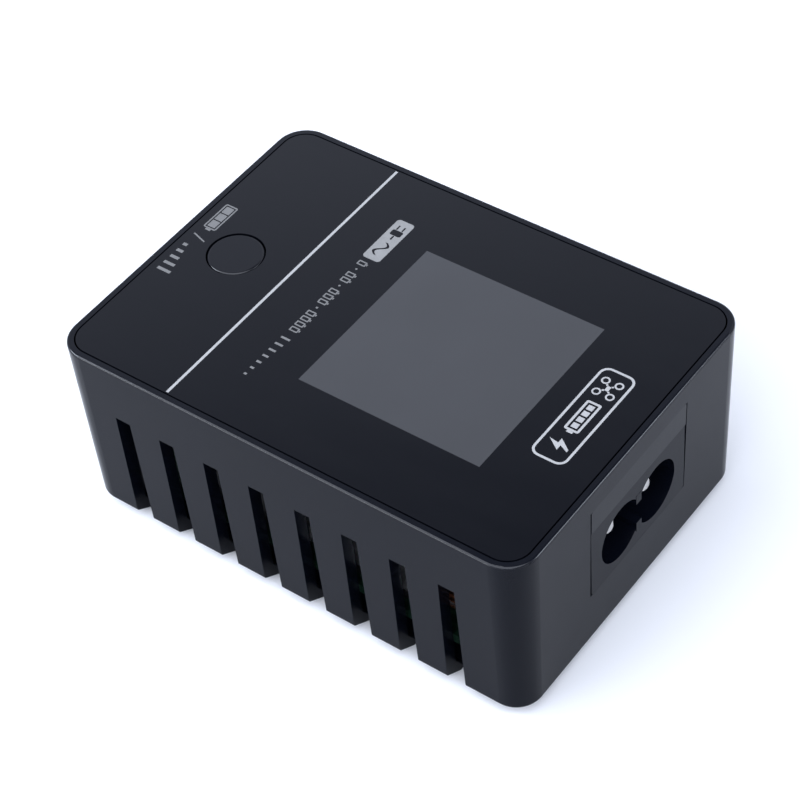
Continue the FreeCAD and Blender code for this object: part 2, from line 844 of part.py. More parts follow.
def make_panel_tape():
    """Die-cut double-sided tape between the cover and the faceplate."""
    body = new_body("PanelTape")
    film = sketch_on(body, "XY_Plane", "TapeOutline", TAPE_LOW)
    add_panel_outline(film, "tape_inset")
    pad(body, film, "tape_thickness")
    openings = sketch_on(body, "XY_Plane", "TapeOpenings", TAPE_LOW)
    add_rectangle(openings, "lcd_length + 3 * lcd_cover_gap", "lcd_width + 3 * lcd_cover_gap", WINDOW_MIDDLE)
    add_circle(openings, "button_radius + button_gap + tape_inset", BUTTON_MIDDLE)
    pocket(body, openings, "tape_thickness", reverse=True)
    return node(body, "faceplate_tape")


def make_faceplate():
    """Thin gloss front panel with a square opening for the display window and a button hole."""
    body = new_body("Faceplate")
    plate = sketch_on(body, "XY_Plane", "PanelOutline", PANEL_LOW)
    add_panel_outline(plate, "0")
    pad(body, plate, "panel_thickness")
    openings = sketch_on(body, "XY_Plane", "PanelOpenings", PANEL_LOW)
    add_rectangle(openings, "window_side", "window_side", WINDOW_MIDDLE)
    add_circle(openings, "button_radius + button_gap", BUTTON_MIDDLE)
    pocket(body, openings, "panel_thickness", reverse=True)
    return node(body, "faceplate")


def make_display_window():
    """Clear square lens bonded flush in the faceplate."""
    return node(block("DisplayWindow", ("window_side", "window_side", "panel_thickness"), WINDOW_MIDDLE,
                      PANEL_LOW), "display_window")


# ---------------------------------------------------------------- button and switch

def make_button():
    """Turned button: flush cap, retaining flange under the cover and a stub that rests on the plunger."""
    body = new_body("FunctionButton")
    profile = sketch_on(body, "XZ_Plane", "ButtonProfile")
    top = "(case_height - button_drop)"
    flange_top = "(%s - button_flange_gap)" % COVER_LOW
    flange_low = "(%s - button_flange_thickness)" % flange_top
    add_outline(profile, [
        ("0", PLUNGER_TOP),
        ("button_stub_radius", PLUNGER_TOP),
        ("button_stub_radius", flange_low),
        ("button_flange_radius", flange_low),
        ("button_flange_radius", flange_top),
        ("button_radius", flange_top),
        ("button_radius", top),
        ("0", top),
    ])
    turn(body, profile, "V_Axis")
    soften(body, "ButtonEdge", "button_edge", at_height(value(top)))
    place(body, BUTTON_MIDDLE + ("0",))
    return node(body, "function_button")


def make_push_switch():
    """Low surface-mount push switch: base, cover plate, plunger, dome and legs."""
    base = block("SwitchBase", ("switch_side", "switch_side", "switch_height"), BUTTON_MIDDLE, CONTROL_TOP)
    well = rod("SwitchWell", "switch_well_radius", "switch_height",
               BUTTON_MIDDLE + ("%s + switch_well_floor" % CONTROL_TOP,))
    node(cut("SwitchBody", base, [well]), "tact_switch_body")
    plate_low = "(%s + switch_height)" % CONTROL_TOP
    plate = block("SwitchPlate", ("switch_plate_side", "switch_plate_side", "switch_plate_thickness"),
                  BUTTON_MIDDLE, plate_low)
    mouth = rod("SwitchMouth", "switch_mouth_radius", "switch_plate_thickness + 2 * overlap",
                BUTTON_MIDDLE + (plate_low + " - overlap",))
    node(cut("SwitchCover", plate, [mouth]), "tact_switch_cover")
    plunger_low = "(%s + plunger_low)" % CONTROL_TOP
    stem = rod("PlungerStem", "plunger_radius", "%s - %s" % (PLUNGER_TOP, plunger_low),
               BUTTON_MIDDLE + (plunger_low,))
    foot = rod("PlungerFoot", "plunger_foot_radius", "plunger_foot_height", BUTTON_MIDDLE + (plunger_low,))
    node(fuse("Plunger", [stem, foot]), "tact_plunger")
    make_dome()
    legs = [block("SwitchLeg%d%d" % (i, j), ("switch_leg_length", "switch_leg_width", "switch_leg_thickness"),
                  ("button_x + %d * switch_leg_x" % i, "%d * switch_leg_y" % j), CONTROL_TOP)
            for i, j in CORNERS]
    node(group("SwitchLegs", legs), "tact_switch_legs")


def make_dome():
    """Snap dome: a thin cap of a hollow ball."""
    ball = value("dome_ball_radius")
    cap_low = ball - value("dome_rise")
    shell = Part.makeSphere(ball).cut(Part.makeSphere(ball - value("dome_skin")))
    keep = Part.makeCylinder(value("dome_radius"), ball, Vector(0, 0, cap_low))
    dome = doc.addObject("Part::Feature", "SwitchDome")
    dome.Shape = shell.common(keep)
    middle = Vector(value("button_x"), 0, value(CONTROL_TOP) + value("dome_top") - ball)
    dome.Placement = FreeCAD.Placement(middle, FreeCAD.Rotation())
    node(dome, "tact_dome")


# ---------------------------------------------------------------- display

def make_display():
    """Square display behind the window: glass, backlight frame, gasket, holder and flex tail."""
    top = "(%s - lcd_below_cover)" % TAPE_LOW
    glass_low = "(%s - lcd_glass_thickness)" % top
    frame_low = "(%s - lcd_frame_floor)" % glass_low
    glass_length = "(lcd_length - 2 * lcd_glass_margin_x)"
    glass_width = "(lcd_width - 2 * lcd_glass_margin_y)"
    glass = block("LcdGlass", (glass_length, glass_width, "lcd_glass_thickness"), WINDOW_MIDDLE, glass_low)
    node(glass, "lcd_glass")
    tray = block("LcdTray", ("lcd_length", "lcd_width", "lcd_frame_thickness"), WINDOW_MIDDLE, frame_low)
    pit = block("LcdPit", (glass_length + " + 2 * lcd_glass_gap", glass_width + " + 2 * lcd_glass_gap",
                           "lcd_frame_thickness"), WINDOW_MIDDLE, glass_low)
    node(cut("LcdFrame", tray, [pit]), "lcd_backlight_frame")
    ring = block("GasketOuter", (glass_length + " - 2 * gasket_margin", glass_width + " - 2 * gasket_margin",
                                 "%s - %s - 2 * gasket_gap" % (PANEL_LOW, top)),
                 WINDOW_MIDDLE, top + " + gasket_gap")
    clear = "(window_side + 2 * gasket_clear)"
    gap = block("GasketInner", (clear, clear, "2 * through"), WINDOW_MIDDLE, top + " - overlap")
    node(cut("Gasket", ring, [gap]), "display_gasket")
    holder_middle = ("(window_x - holder_cut / 2)", "0")
    holder_length = "(lcd_length - holder_cut)"
    outer = block("HolderOuter", (holder_length, "lcd_width", "%s - %s" % (frame_low, CONTROL_TOP)),
                  holder_middle, CONTROL_TOP)
    inner = block("HolderInner", (holder_length + " - 2 * holder_wall", "lcd_width - 2 * holder_wall",
                                  "%s - %s + 2 * through" % (frame_low, CONTROL_TOP)),
                  holder_middle, CONTROL_TOP + " - through")
    node(cut("Holder", outer, [inner]), "lcd_holder")
    strap_x = "(window_x - lcd_length / 2 - flex_gap - flex_thickness / 2)"
    strap = block("FlexStrap", ("flex_thickness", "flex_width", "%s - %s" % (glass_low, CONTROL_TOP)),
                  (strap_x, "0"), CONTROL_TOP)
    lap = block("FlexLap", ("flex_lap", "flex_width", "flex_thickness"),
                ("%s + flex_thickness / 2 - flex_lap / 2" % strap_x, "0"), CONTROL_TOP)
    node(fuse("Flex", [strap, lap]), "lcd_flex")


# ---------------------------------------------------------------- mains inlet

def make_inlet():
    """Board-mount figure-eight mains inlet, its two pins and their board terminals."""
    body = new_body("InletHousing")
    front = sketch_on(body, "YZ_Plane", "InletOutline", "case_length / 2")
    add_rectangle(front, "inlet_width", "inlet_high - inlet_low - 2 * inlet_fit",
                  ("inlet_y", "(inlet_high + inlet_low) / 2"))
    pad(body, front, "inlet_depth + inlet_inset", reverse=True)
    soften(body, "InletCorners", "inlet_corner", is_along(Vector(1, 0, 0)))
    shape_inlet_face(body)
    legs = sketch_on(body, "YZ_Plane", "InletLegs", INLET_FACE + " - inlet_leg_setback")
    leg_top = "(inlet_low + overlap)"
    for side in (-1, 1):
        add_rectangle(legs, "inlet_leg_width", "%s - %s" % (leg_top, BOARD_TOP),
                      ("inlet_y + %d * (inlet_width - inlet_leg_width) / 2" % side,
                       "(%s + %s) / 2" % (leg_top, BOARD_TOP)))
    pad(body, legs, "inlet_depth - inlet_leg_setback", reverse=True)
    recess = sketch_on(body, "YZ_Plane", "InletRecess", "case_length / 2")
    add_figure_eight(recess)
    pocket(body, recess, "inlet_recess + inlet_inset")
    ribs = sketch_on(body, "YZ_Plane", "InletRibs", INLET_FACE)
    for side in (-1, 1):
        add_rectangle(ribs, "inlet_rib_width", "inlet_rib_height",
                      ("inlet_y", "inlet_z + %d * (inlet_waist + inlet_rib_height) / 2" % side))
    pad(body, ribs, "inlet_recess + overlap", reverse=True)
    holes = sketch_on(body, "YZ_Plane", "InletPinHoles", INLET_FACE + " - inlet_recess")
    for side in (-1, 1):
        add_circle(holes, "inlet_root_radius", (pin_y(side), "inlet_z"))
    pocket(body, holes, "inlet_depth - inlet_recess")
    node(body, "ac_inlet_housing")
    node(group("InletPins", [make_inlet_pin(side) for side in (-1, 1)]), "ac_inlet_pins")
    terminals = [block("InletTerminal%d" % (side + 1),
                       ("terminal_thickness", "terminal_width", "inlet_z + terminal_rise - board_z + tail"),
                       ("%s - inlet_depth - terminal_gap - terminal_thickness / 2" % INLET_FACE, pin_y(side)),
                       "board_z - tail") for side in (-1, 1)]
    node(group("InletTerminals", terminals), "ac_inlet_terminals")


def shape_inlet_face(body):
    """Upper band level with the drafted case wall; the main face starts a small step in and ends level."""
    side_view = sketch_on(body, "XZ_Plane", "InletFace", "case_width / 2")
    out = "case_length / 2 + through"

    def wall_x(z):
        return "case_length / 2 - inlet_band_inset - (case_height - %s) * tan(case_draft)" % z

    add_outline(side_view, [
        (out, "inlet_low - through"),
        (out, "inlet_high + through"),
        (wall_x("(inlet_high + through)"), "inlet_high + through"),
        (wall_x("inlet_band_low"), "inlet_band_low"),
        (wall_x("inlet_band_low") + " - inlet_face_step", "inlet_band_low"),
        (wall_x("inlet_low") + " + inlet_face_rise", "inlet_low"),
        (wall_x("inlet_low") + " + inlet_face_rise", "inlet_low - through"),
    ])
    pocket(body, side_view, "case_width")


def make_inlet_pin(side):
    """Round contact pin with a blunt tip and a thinner root that reaches its terminal."""
    name = "InletPin%d" % (side + 1)
    tip = "%s - inlet_pin_setback" % INLET_FACE
    free = rod(name + "Free", "inlet_pin_radius", "inlet_recess - inlet_pin_setback",
               (tip, pin_y(side), "inlet_z"), "-X")
    root = rod(name + "Root", "inlet_root_radius", "inlet_depth - inlet_recess + terminal_gap",
               ("%s - inlet_recess" % INLET_FACE, pin_y(side), "inlet_z"), "-X")
    tip_x = value(tip)

    def at_tip(edge):
        return abs(edge.BoundBox.XMin - tip_x) < 1e-4 and abs(edge.BoundBox.XMax - tip_x) < 1e-4

    return fuse(name, [rounded(name + "Round", free, "inlet_pin_round", at_tip), root])


def add_figure_eight(sketch):
    """Two overlapping round lobes side by side, drawn as two arcs with shared ends."""
    radius = value("inlet_lobe_radius")
    offset = value("inlet_lobe_offset")
    y = value("inlet_y")
    z = value("inlet_z")
    rise = (radius ** 2 - offset ** 2) ** 0.5
    top = Vector(y, z + rise, 0)
    low = Vector(y, z - rise, 0)
    left = sketch.addGeometry(Part.Arc(top, Vector(y - offset - radius, z, 0), low), False)
    right = sketch.addGeometry(Part.Arc(low, Vector(y + offset + radius, z, 0), top), False)
    sketch.addConstraint(Sketcher.Constraint("Coincident", left, START, right, END))
    sketch.addConstraint(Sketcher.Constraint("Coincident", left, END, right, START))
    for arc, side in ((left, -1), (right, 1)):
        fix(sketch, "Radius", (arc,), "inlet_lobe_radius")
        fix_point(sketch, arc, CENTRE, ("inlet_y + %d * inlet_lobe_offset" % side, "inlet_z"))


# ---------------------------------------------------------------- output end

def make_output_socket():
    """Two-pole output socket: keyed nose, base on the board, two tube contacts with tails."""
    body = new_body("OutputSocket")
    nose = sketch_on(body, "YZ_Plane", "SocketNose", NOSE_TIP)
    left = "output_y - nose_width / 2"
    right = "output_y + nose_width / 2"
    low = "output_z - nose_height / 2"
    high = "output_z + nose_height / 2"
    add_outline(nose, [
        (left, low),
        (right + " - nose_key", low),
        (right, low + " + nose_key"),
        (right, high + " - nose_key"),
        (right + " - nose_key", high),
        (left, high),
    ])
    pad(body, nose, "%s - %s" % (SOCKET_FACE, NOSE_TIP))
    soften(body, "NoseEdges", "nose_round", is_along(Vector(1, 0, 0)))
    base = sketch_on(body, "YZ_Plane", "SocketBase", SOCKET_FACE)
    base_top = "(output_z + mate_height / 2 + socket_base_rise)"
    add_rectangle(base, "mate_width + 2 * socket_base_side", "%s - %s" % (base_top, BOARD_TOP),
                  ("output_y", "(%s + %s) / 2" % (base_top, BOARD_TOP)))
    pad(body, base, "socket_base_thickness")
    holes = sketch_on(body, "YZ_Plane", "ContactHoles", NOSE_TIP)
    for pole in (-1, 1):
        add_circle(holes, "contact_radius", (contact_y(pole), "output_z"))
    pocket(body, holes, "collar_end + socket_base_thickness + through", reverse=True)
    node(body, "output_socket_body")
    node(group("OutputContacts", [make_contact(pole) for pole in (-1, 1)]), "output_socket_contacts")


def make_contact(pole):
    """Tube contact with a blind bore and a flat tail down through the board."""
    name = "Contact%d" % (pole + 1)
    start = "(%s + contact_setback)" % NOSE_TIP
    back = "(%s + socket_base_thickness)" % SOCKET_FACE
    mouth = (start, contact_y(pole), "output_z")
    tube = rod(name + "Tube", "contact_radius", "%s - %s" % (back, start), mouth, "X")
    bore = rod(name + "Bore", "contact_bore_radius", "contact_depth", mouth, "X")
    tail = block(name + "Tail", ("contact_tail_thickness", "contact_tail_width",
                                 "output_z + contact_tail_rise - board_z + tail"),
                 (back + " + contact_tail_thickness / 2", contact_y(pole)), "board_z - tail")
    return cut(name, fuse(name + "Blank", [tube, tail]), [bore])


def make_balance_header():
    """Right-angle shrouded balance header: white shell with key slots and a row of bent pins."""
    body = new_body("BalanceShell")
    outline = sketch_on(body, "YZ_Plane", "ShellOutline", SHELL_FACE)
    add_rectangle(outline, "balance_width", "balance_height", ("balance_y", "balance_z"))
    pad(body, outline, "balance_depth")
    cavity = sketch_on(body, "YZ_Plane", "ShellCavity", SHELL_FACE)
    add_rectangle(cavity, "balance_width - 2 * balance_wall", "balance_height - 2 * balance_wall",
                  ("balance_y", "balance_z"))
    pocket(body, cavity, "balance_cavity", reverse=True)
    slots = sketch_on(body, "YZ_Plane", "ShellKeySlots", SHELL_FACE)
    for side in (-1, 1):
        add_rectangle(slots, "balance_key_width", "balance_wall + overlap",
                      ("balance_y + %d * balance_key_offset" % side,
                       "balance_z + (balance_height - balance_wall) / 2"))
    pocket(body, slots, "balance_key_depth", reverse=True)
    holes = sketch_on(body, "YZ_Plane", "ShellPinHoles", SHELL_FACE)
    for way in BALANCE_WAYS:
        add_rectangle(holes, "balance_pin", "balance_pin", (balance_y(way), "balance_z"))
    pocket(body, holes, "balance_depth + through", reverse=True)
    foot = sketch_on(body, "YZ_Plane", "ShellFoot", SHELL_FACE + " + balance_depth - balance_foot")
    foot_top = "(balance_z - balance_height / 2 + overlap / 2)"
    for side in (-1, 1):
        add_rectangle(foot, "balance_foot", "%s - %s" % (foot_top, BOARD_TOP),
                      ("balance_y + %d * (balance_width - balance_foot) / 2" % side,
                       "(%s + %s) / 2" % (foot_top, BOARD_TOP)))
    pad(body, foot, "balance_foot")
    node(body, "balance_header_shell")
    node(group("BalancePins", [make_balance_pin(way) for way in BALANCE_WAYS]), "balance_header_pins")


def make_balance_pin(way):
    """Square pin that runs back out of the shell and turns down through the board."""
    name = "Way%d" % way
    start = "(%s + balance_pin_setback)" % SHELL_FACE
    run = "(balance_depth + balance_pin_overhang)"
    level = block(name + "Level", (run, "balance_pin", "balance_pin"),
                  ("%s + %s / 2" % (start, run), balance_y(way)), "balance_z - balance_pin / 2")
    drop = block(name + "Drop", ("balance_pin", "balance_pin", "balance_z - board_z + tail"),
                 (BALANCE_DROP_X, balance_y(way)), "board_z - tail")
    return fuse(name, [level, drop])


# ---------------------------------------------------------------- boards, sheets and fasteners

def tail_slot(name, thickness, width, middle):
    """Cutter for the slot that a flat tail passes through in the power board."""
    size = (thickness + " + 2 * tail_gap", width + " + 2 * tail_gap", "board_thickness + 2 * through")
    return block(name, size, middle, "board_z - through")


def make_power_board():
    """Main board with round notches for the screw posts and holes for screws and tails."""
    plate = block("PowerPlate", ("board_length", "board_width", "board_thickness"), ORIGIN, "board_z")
    tools = [board_cutter("PowerNotch%d" % i, "post_radius + notch_gap", middle)
             for i, middle in enumerate(POST_MIDDLES)]
    tools += [board_cutter("PowerHole%d" % i, "board_hole_radius", middle)
              for i, middle in enumerate(BOARD_STANDS)]
    notch_end = "(%s + tail_gap * 2)" % COLLAR_END
    notch_length = "(%s + board_length / 2 + through)" % notch_end
    tools.append(block("CollarNotch", (notch_length, "mate_width + 2 * (collar_wall + notch_gap)",
                                       "board_thickness + 2 * through"),
                       ("%s - %s / 2" % (notch_end, notch_length), "output_y"), "board_z - through"))
    inlet_tail_x = "(%s - inlet_depth - terminal_gap - terminal_thickness / 2)" % INLET_FACE
    output_tail_x = "(%s + socket_base_thickness + contact_tail_thickness / 2)" % SOCKET_FACE
    for side in (-1, 1):
        tools.append(tail_slot("InletTailSlot%d" % (side + 1), "terminal_thickness", "terminal_width",
                               (inlet_tail_x, pin_y(side))))
        tools.append(tail_slot("OutputTailSlot%d" % (side + 1), "contact_tail_thickness",
                               "contact_tail_width", (output_tail_x, contact_y(side))))
    tools += [board_cutter("BalanceHole%d" % way, "pin_hole_radius", (BALANCE_DROP_X, balance_y(way)))
              for way in BALANCE_WAYS]
    tools += [board_cutter("HeaderHole%d" % way, "pin_hole_radius", header_middle(way))
              for way in HEADER_WAYS]
    node(cut("PowerBoard", plate, tools), "power_board")


def make_control_board():
    """Upper board that carries the display, the push switch and the control circuit."""
    plate = block("ControlPlate", ("control_length", "control_width", "control_thickness"),
                  ("(control_end_x - control_length / 2)", "0"), "control_z")
    tools = [control_cutter("ControlNotch%d" % (side + 1), "boss_radius + notch_gap", post_middle(-1, side))
             for side in (-1, 1)]
    tools += [control_cutter("ControlHole%d" % i, "board_hole_radius", middle)
              for i, middle in enumerate(CONTROL_STANDS)]
    tools += [control_cutter("ControlHeaderHole%d" % way, "pin_hole_radius", header_middle(way))
              for way in HEADER_WAYS]
    node(cut("ControlBoard", plate, tools), "control_board")


def make_screw(name, middle, head_low, head, shank, upward):
    """Pan-head screw with a cross recess; its shank points up or down from the head."""
    head_radius, head_height = head
    shank_radius, length = shank
    top = rod(name + "Head", head_radius, head_height, middle + (head_low,))
    shank_low = "%s + %s" % (head_low, head_height) if upward else "%s - %s" % (head_low, length)
    stem = rod(name + "Shank", shank_radius, length, middle + (shank_low,))
    if upward:
        recess_low = head_low + " - through"
    else:
        recess_low = "%s + %s - drive_depth" % (head_low, head_height)
    bars = [block(name + "Bar%d" % i, (length_x, length_y, "drive_depth + through"), middle, recess_low)
            for i, (length_x, length_y) in enumerate((("drive_length", "drive_width"),
                                                      ("drive_width", "drive_length")))]
    return cut(name, fuse(name + "Blank", [top, stem]), bars)


def make_screws():
    case_head = ("screw_head_radius", "screw_head_height")
    case_screws = [make_screw("CaseScrew%d" % i, middle, "(screw_seat - screw_head_height)", case_head,
                              ("screw_shank_radius", "screw_length"), True)
                   for i, middle in enumerate(POST_MIDDLES)]
    node(group("CaseScrews", case_screws), "case_screws")
    small_head = ("board_screw_head_radius", "board_screw_head_height")
    board_screws = [make_screw("BoardScrew%d" % i, middle, BOARD_TOP, small_head,
                               ("board_screw_radius", "board_screw_length"), False)
                    for i, middle in enumerate(BOARD_STANDS)]
    node(group("BoardScrews", board_screws), "power_board_screws")
    control_screws = [make_screw("ControlScrew%d" % i, middle, "(control_z - board_screw_head_height)",
                                 small_head, ("control_screw_radius", "control_screw_length"), True)
                      for i, middle in enumerate(CONTROL_STANDS)]
    node(group("ControlScrews", control_screws), "control_board_screws")


def make_sheets():
    """Insulating sheet on the floor and the blank rating label under the case."""
    plate = block("InsulationPlate", ("insulation_length", "insulation_width", "insulation_thickness"),
                  ORIGIN, "floor_thickness + insulation_gap")
    holes = [(middle, "insulation_hole_radius") for middle in BOARD_STANDS]
    holes += [(middle, "post_radius + insulation_notch_gap") for middle in POST_MIDDLES]
    tools = [rod("InsulationHole%d" % i, radius, "insulation_thickness + 2 * through",
                 middle + ("floor_thickness - through",)) for i, (middle, radius) in enumerate(holes)]
    node(cut("Insulation", plate, tools), "insulation_sheet")
    label = block("LabelPlate", ("label_length", "label_width", "label_thickness"), ORIGIN,
                  "label_recess - label_thickness")
    node(rounded("Label", label, "label_round", is_upright), "rating_label")


# ---------------------------------------------------------------- mains side parts

def make_transformer():
    """Small switching transformer lying on the board: ferrite core, bobbin and taped winding."""
    core = centred("CoreBlank", "core_width", "core_length", "core_depth")
    windows = [centred("CoreWindow%d" % (side + 1), "core_window_width", "core_window_length",
                       "core_depth + 2 * through", "%d * (core_leg + core_window_width) / 2" % side)
               for side in (-1, 1)]
    node(cut("Core", core, windows), "transformer_core")

    former = centred("BobbinTube", "bobbin_width", "bobbin_length", "bobbin_height")
    pieces = [former]
    for side in (-1, 1):
        flange_y = "%d * (bobbin_length - bobbin_flange) / 2" % side
        pieces.append(centred("BobbinFlange%d" % (side + 1), "bobbin_flange_width", "bobbin_flange",
                              "bobbin_flange_height", "0", flange_y))
        pieces.append(block("BobbinRail%d" % (side + 1),
                            ("core_width", "bobbin_rail_width", "bobbin_rail_height"),
                            ("core_x", "core_y + %d * bobbin_rail_offset" % side), BOARD_TOP))
        pieces.append(block("BobbinLink%d" % (side + 1),
                            ("bobbin_link_length", "bobbin_flange", "bobbin_rail_height"),
                            ("core_x", "core_y + %d * bobbin_link_offset" % side), BOARD_TOP))
    leg_room = centred("BobbinLegRoom", "core_leg + 2 * bobbin_gap", "core_length + 2 * through",
                       "core_depth + 2 * bobbin_gap")
    node(cut("Bobbin", fuse("BobbinBlank", pieces), [leg_room]), "transformer_bobbin")

    coil = centred("WindingBlank", "winding_width", "winding_length", "winding_height")
    coil_bore = centred("WindingBore", "bobbin_width + 2 * bobbin_gap", "winding_length + 2 * through",
                        "bobbin_height + 2 * bobbin_gap")
    along_y = is_along(Vector(0, 1, 0))
    reach = value("bobbin_width")
    core_x = value("core_x")

    def outer_edge(edge):
        return along_y(edge) and abs(edge.CenterOfMass.x - core_x) > reach * 0.8

    node(rounded("Winding", cut("WindingRing", coil, [coil_bore]), "winding_round", outer_edge),
         "transformer_winding")


def centred(name, length, width, height, shift_x="0", shift_y="0"):
    """Box centred on the transformer's own middle, with a shift along X and Y."""
    return block(name, (length, width, height), ("core_x + %s" % shift_x, "core_y + %s" % shift_y),
                 "core_z - (%s) / 2" % height)


def make_bulk_capacitor():
    """Electrolytic can lying along the board: turned body with its crimp groove."""
    body = new_body("BulkCapacitor")
    profile = sketch_on(body, "XY_Plane", "CanProfile")
    waist = "bulk_radius - crimp_depth"
    add_outline(profile, [
        ("0", "0"),
        ("0", waist),
        ("crimp_depth", "bulk_radius"),
        ("crimp_start", "bulk_radius"),
        ("crimp_start + crimp_depth", waist),
        ("crimp_start + crimp_depth + crimp_floor", waist),
        ("crimp_start + 2 * crimp_depth + crimp_floor", "bulk_radius"),
        ("bulk_length - bulk_end_round", "bulk_radius"),
        ("bulk_length", "bulk_radius - bulk_end_round"),
        ("bulk_length", "0"),
    ])
    turn(body, profile, "H_Axis")
    place(body, ("bulk_x", "bulk_y", "%s + bulk_radius + bulk_lift" % BOARD_TOP))
    node(body, "bulk_capacitor")


def make_choke():
    """Common-mode choke: ferrite ring standing on edge with two half windings."""
    ring = choke_rod("RingOuter", "ring_radius", "ring_depth")
    bore = choke_rod("RingBore", "ring_bore", "ring_depth + 2 * through")
    node(cut("Ring", ring, [bore]), "choke_core")
    coils = []
    for side in (-1, 1):
        name = "ChokeCoil%d" % (side + 1)
        fat = choke_rod(name + "Outer", "ring_radius + choke_coil", "ring_depth + 2 * choke_coil")
        eye = choke_rod(name + "Eye", "ring_bore - choke_coil", "ring_depth + 4 * through")
        room = choke_rod(name + "Room", "ring_radius + choke_coil_gap", "ring_depth + 2 * choke_coil_gap")
        room_bore = choke_rod(name + "RoomBore", "ring_bore - choke_coil_gap", "ring_depth + 4 * through")
        shell = cut(name + "Shell", fat, [eye, cut(name + "Core", room, [room_bore])])
        sector = block(name + "Sector", ("ring_depth + 4 * through", "choke_coil_width", "choke_coil_height"),
                       ("choke_x", "choke_y + %d * choke_coil_offset" % side),
                       "%s + choke_lift - choke_coil_height / 2" % BOARD_TOP)
        coils.append(common(name, shell, sector))
    node(group("ChokeCoils", coils), "choke_windings")


def choke_rod(name, radius, length):
    """Cylinder on the choke's axis, centred on its middle."""
    start = ("choke_x - (%s) / 2" % length, "choke_y", "%s + choke_lift" % BOARD_TOP)
    return rod(name, radius, length, start, "X")


def make_mains_parts():
    """Film and disc capacitors, fuse, bridge rectifier, switching transistor and its heatsink."""
    node(rounded("FilmCap", boxed("FilmCapBox", "film", BOARD_TOP), "film_round", is_upright), "x_capacitor")
    disc_start = ("disc_x", "disc_y", BOARD_TOP + " + disc_lift")
    disc = rod("DiscCap", "disc_radius", "disc_thickness", disc_start, "Y")
    node(rounded("DiscCapRound", disc, "disc_round", is_closed), "y_capacitor")
    node(rounded("Fuse", boxed("FuseBox", "fuse", BOARD_TOP), "fuse_round", is_upright), "fuse")

    moulding = boxed("BridgeBox", "bridge", BOARD_TOP + " + bridge_lift")
    legs = [block("BridgeLeg%d" % i, ("bridge_leg_thickness", "bridge_leg_width", "bridge_lift"),
                  ("bridge_x", "bridge_y + %.1f * bridge_leg_pitch" % (i - 1.5)), BOARD_TOP)
            for i in range(4)]
    moulding = rounded("BridgeRound", moulding, "film_round", is_upright)
    node(fuse("Bridge", [moulding] + legs), "bridge_rectifier")

    plate = boxed("SinkPlate", "sink", BOARD_TOP)
    wing = block("SinkWing", ("sink_wing_length", "sink_length", "sink_wing_height"),
                 ("sink_x + (sink_wing_length - sink_length) / 2", "sink_y - (sink_width - sink_length) / 2"),
                 BOARD_TOP + " + sink_wing_lift")
    node(fuse("Sink", [plate, wing]), "heatsink")

    low = BOARD_TOP + " + transistor_lift"
    tab = block("TransistorTab", ("transistor_tab", "transistor_width", "transistor_tab_height"),
                ("sink_x - sink_length / 2 - sink_gap - transistor_tab / 2", "transistor_y"), low)
    node(fuse("Transistor", [tab, boxed("TransistorBody", "transistor", low)]), "switching_mosfet")
    node(make_chip("Optocoupler", "isolator", 2), "optocoupler")
    node(make_chip("PwmController", "driver", 4), "pwm_controller")


def make_chip(name, part, legs, y=None):
    """Moulded chip on the power board with small gull legs along its two long sides."""
    x = part + "_x"
    y = y or part + "_y"
    pieces = [boxed(name + "Body", part, BOARD_TOP + " + chip_lift", (x, y))]
    leg_size = ("chip_leg_length", "chip_leg_width", "chip_leg_thickness")
    knee_size = ("chip_leg_thickness", "chip_leg_width", part + "_height / 2")
    for side in (-1, 1):
        for i in range(legs):
            leg_y = "%s + %.1f * %s_width / %d" % (y, i - (legs - 1) / 2, part, legs)
            leg_x = "%s + %d * (%s_length / 2 + chip_leg_offset)" % (x, side, part)
            knee_x = "%s + %d * (%s_length / 2 + chip_knee_offset)" % (x, side, part)
            number = "%d%d" % (side + 1, i)
            pieces.append(block(name + "Leg" + number, leg_size, (leg_x, leg_y), BOARD_TOP))
            pieces.append(block(name + "Knee" + number, knee_size, (knee_x, leg_y), BOARD_TOP))
    return fuse(name, pieces)


# ---------------------------------------------------------------- battery side parts

def make_battery_parts():
    """Output capacitors, rectifier, inductor, charge transistors, balance resistors and shunt."""
    cans = []
    for side in (-1, 1):
        can = rod("OutputCan%d" % (side + 1), "can_radius", "can_height",
                  ("can_x", "can_y + %d * can_pitch / 2" % side, BOARD_TOP + " + can_lift"))
        cans.append(rounded("OutputCanRound%d" % (side + 1), can, "can_round", is_closed))
    node(group("OutputCans", cans), "output_capacitors")
    diode_tab = block("DiodeTab", ("diode_length", "diode_tab_width", "diode_tab_height"),
                      ("diode_x", "diode_y - (diode_width + diode_tab_width) / 2"), BOARD_TOP)
    node(fuse("Diode", [boxed("DiodeBody", "diode", BOARD_TOP), diode_tab]), "output_rectifier")
    coil = boxed("InductorBlock", "inductor", BOARD_TOP)
    node(rounded("Inductor", coil, "inductor_round", is_upright), "buck_inductor")
    mosfets = [make_chip("ChargeMosfet%d" % (side + 1), "charge_fet", 4,
                         "(charge_fet_y + %d * charge_fet_pitch / 2)" % side) for side in (-1, 1)]
    node(group("ChargeMosfets", mosfets), "charge_mosfets")
    resistors = [boxed("BalanceResistor%d" % i, "resistor", BOARD_TOP,
                       ("resistor_x", "resistor_y + %.1f * resistor_pitch" % (i - 1.5))) for i in range(4)]
    node(group("BalanceResistors", resistors), "balance_resistors")
    node(boxed("Shunt", "shunt", BOARD_TOP), "current_shunt")


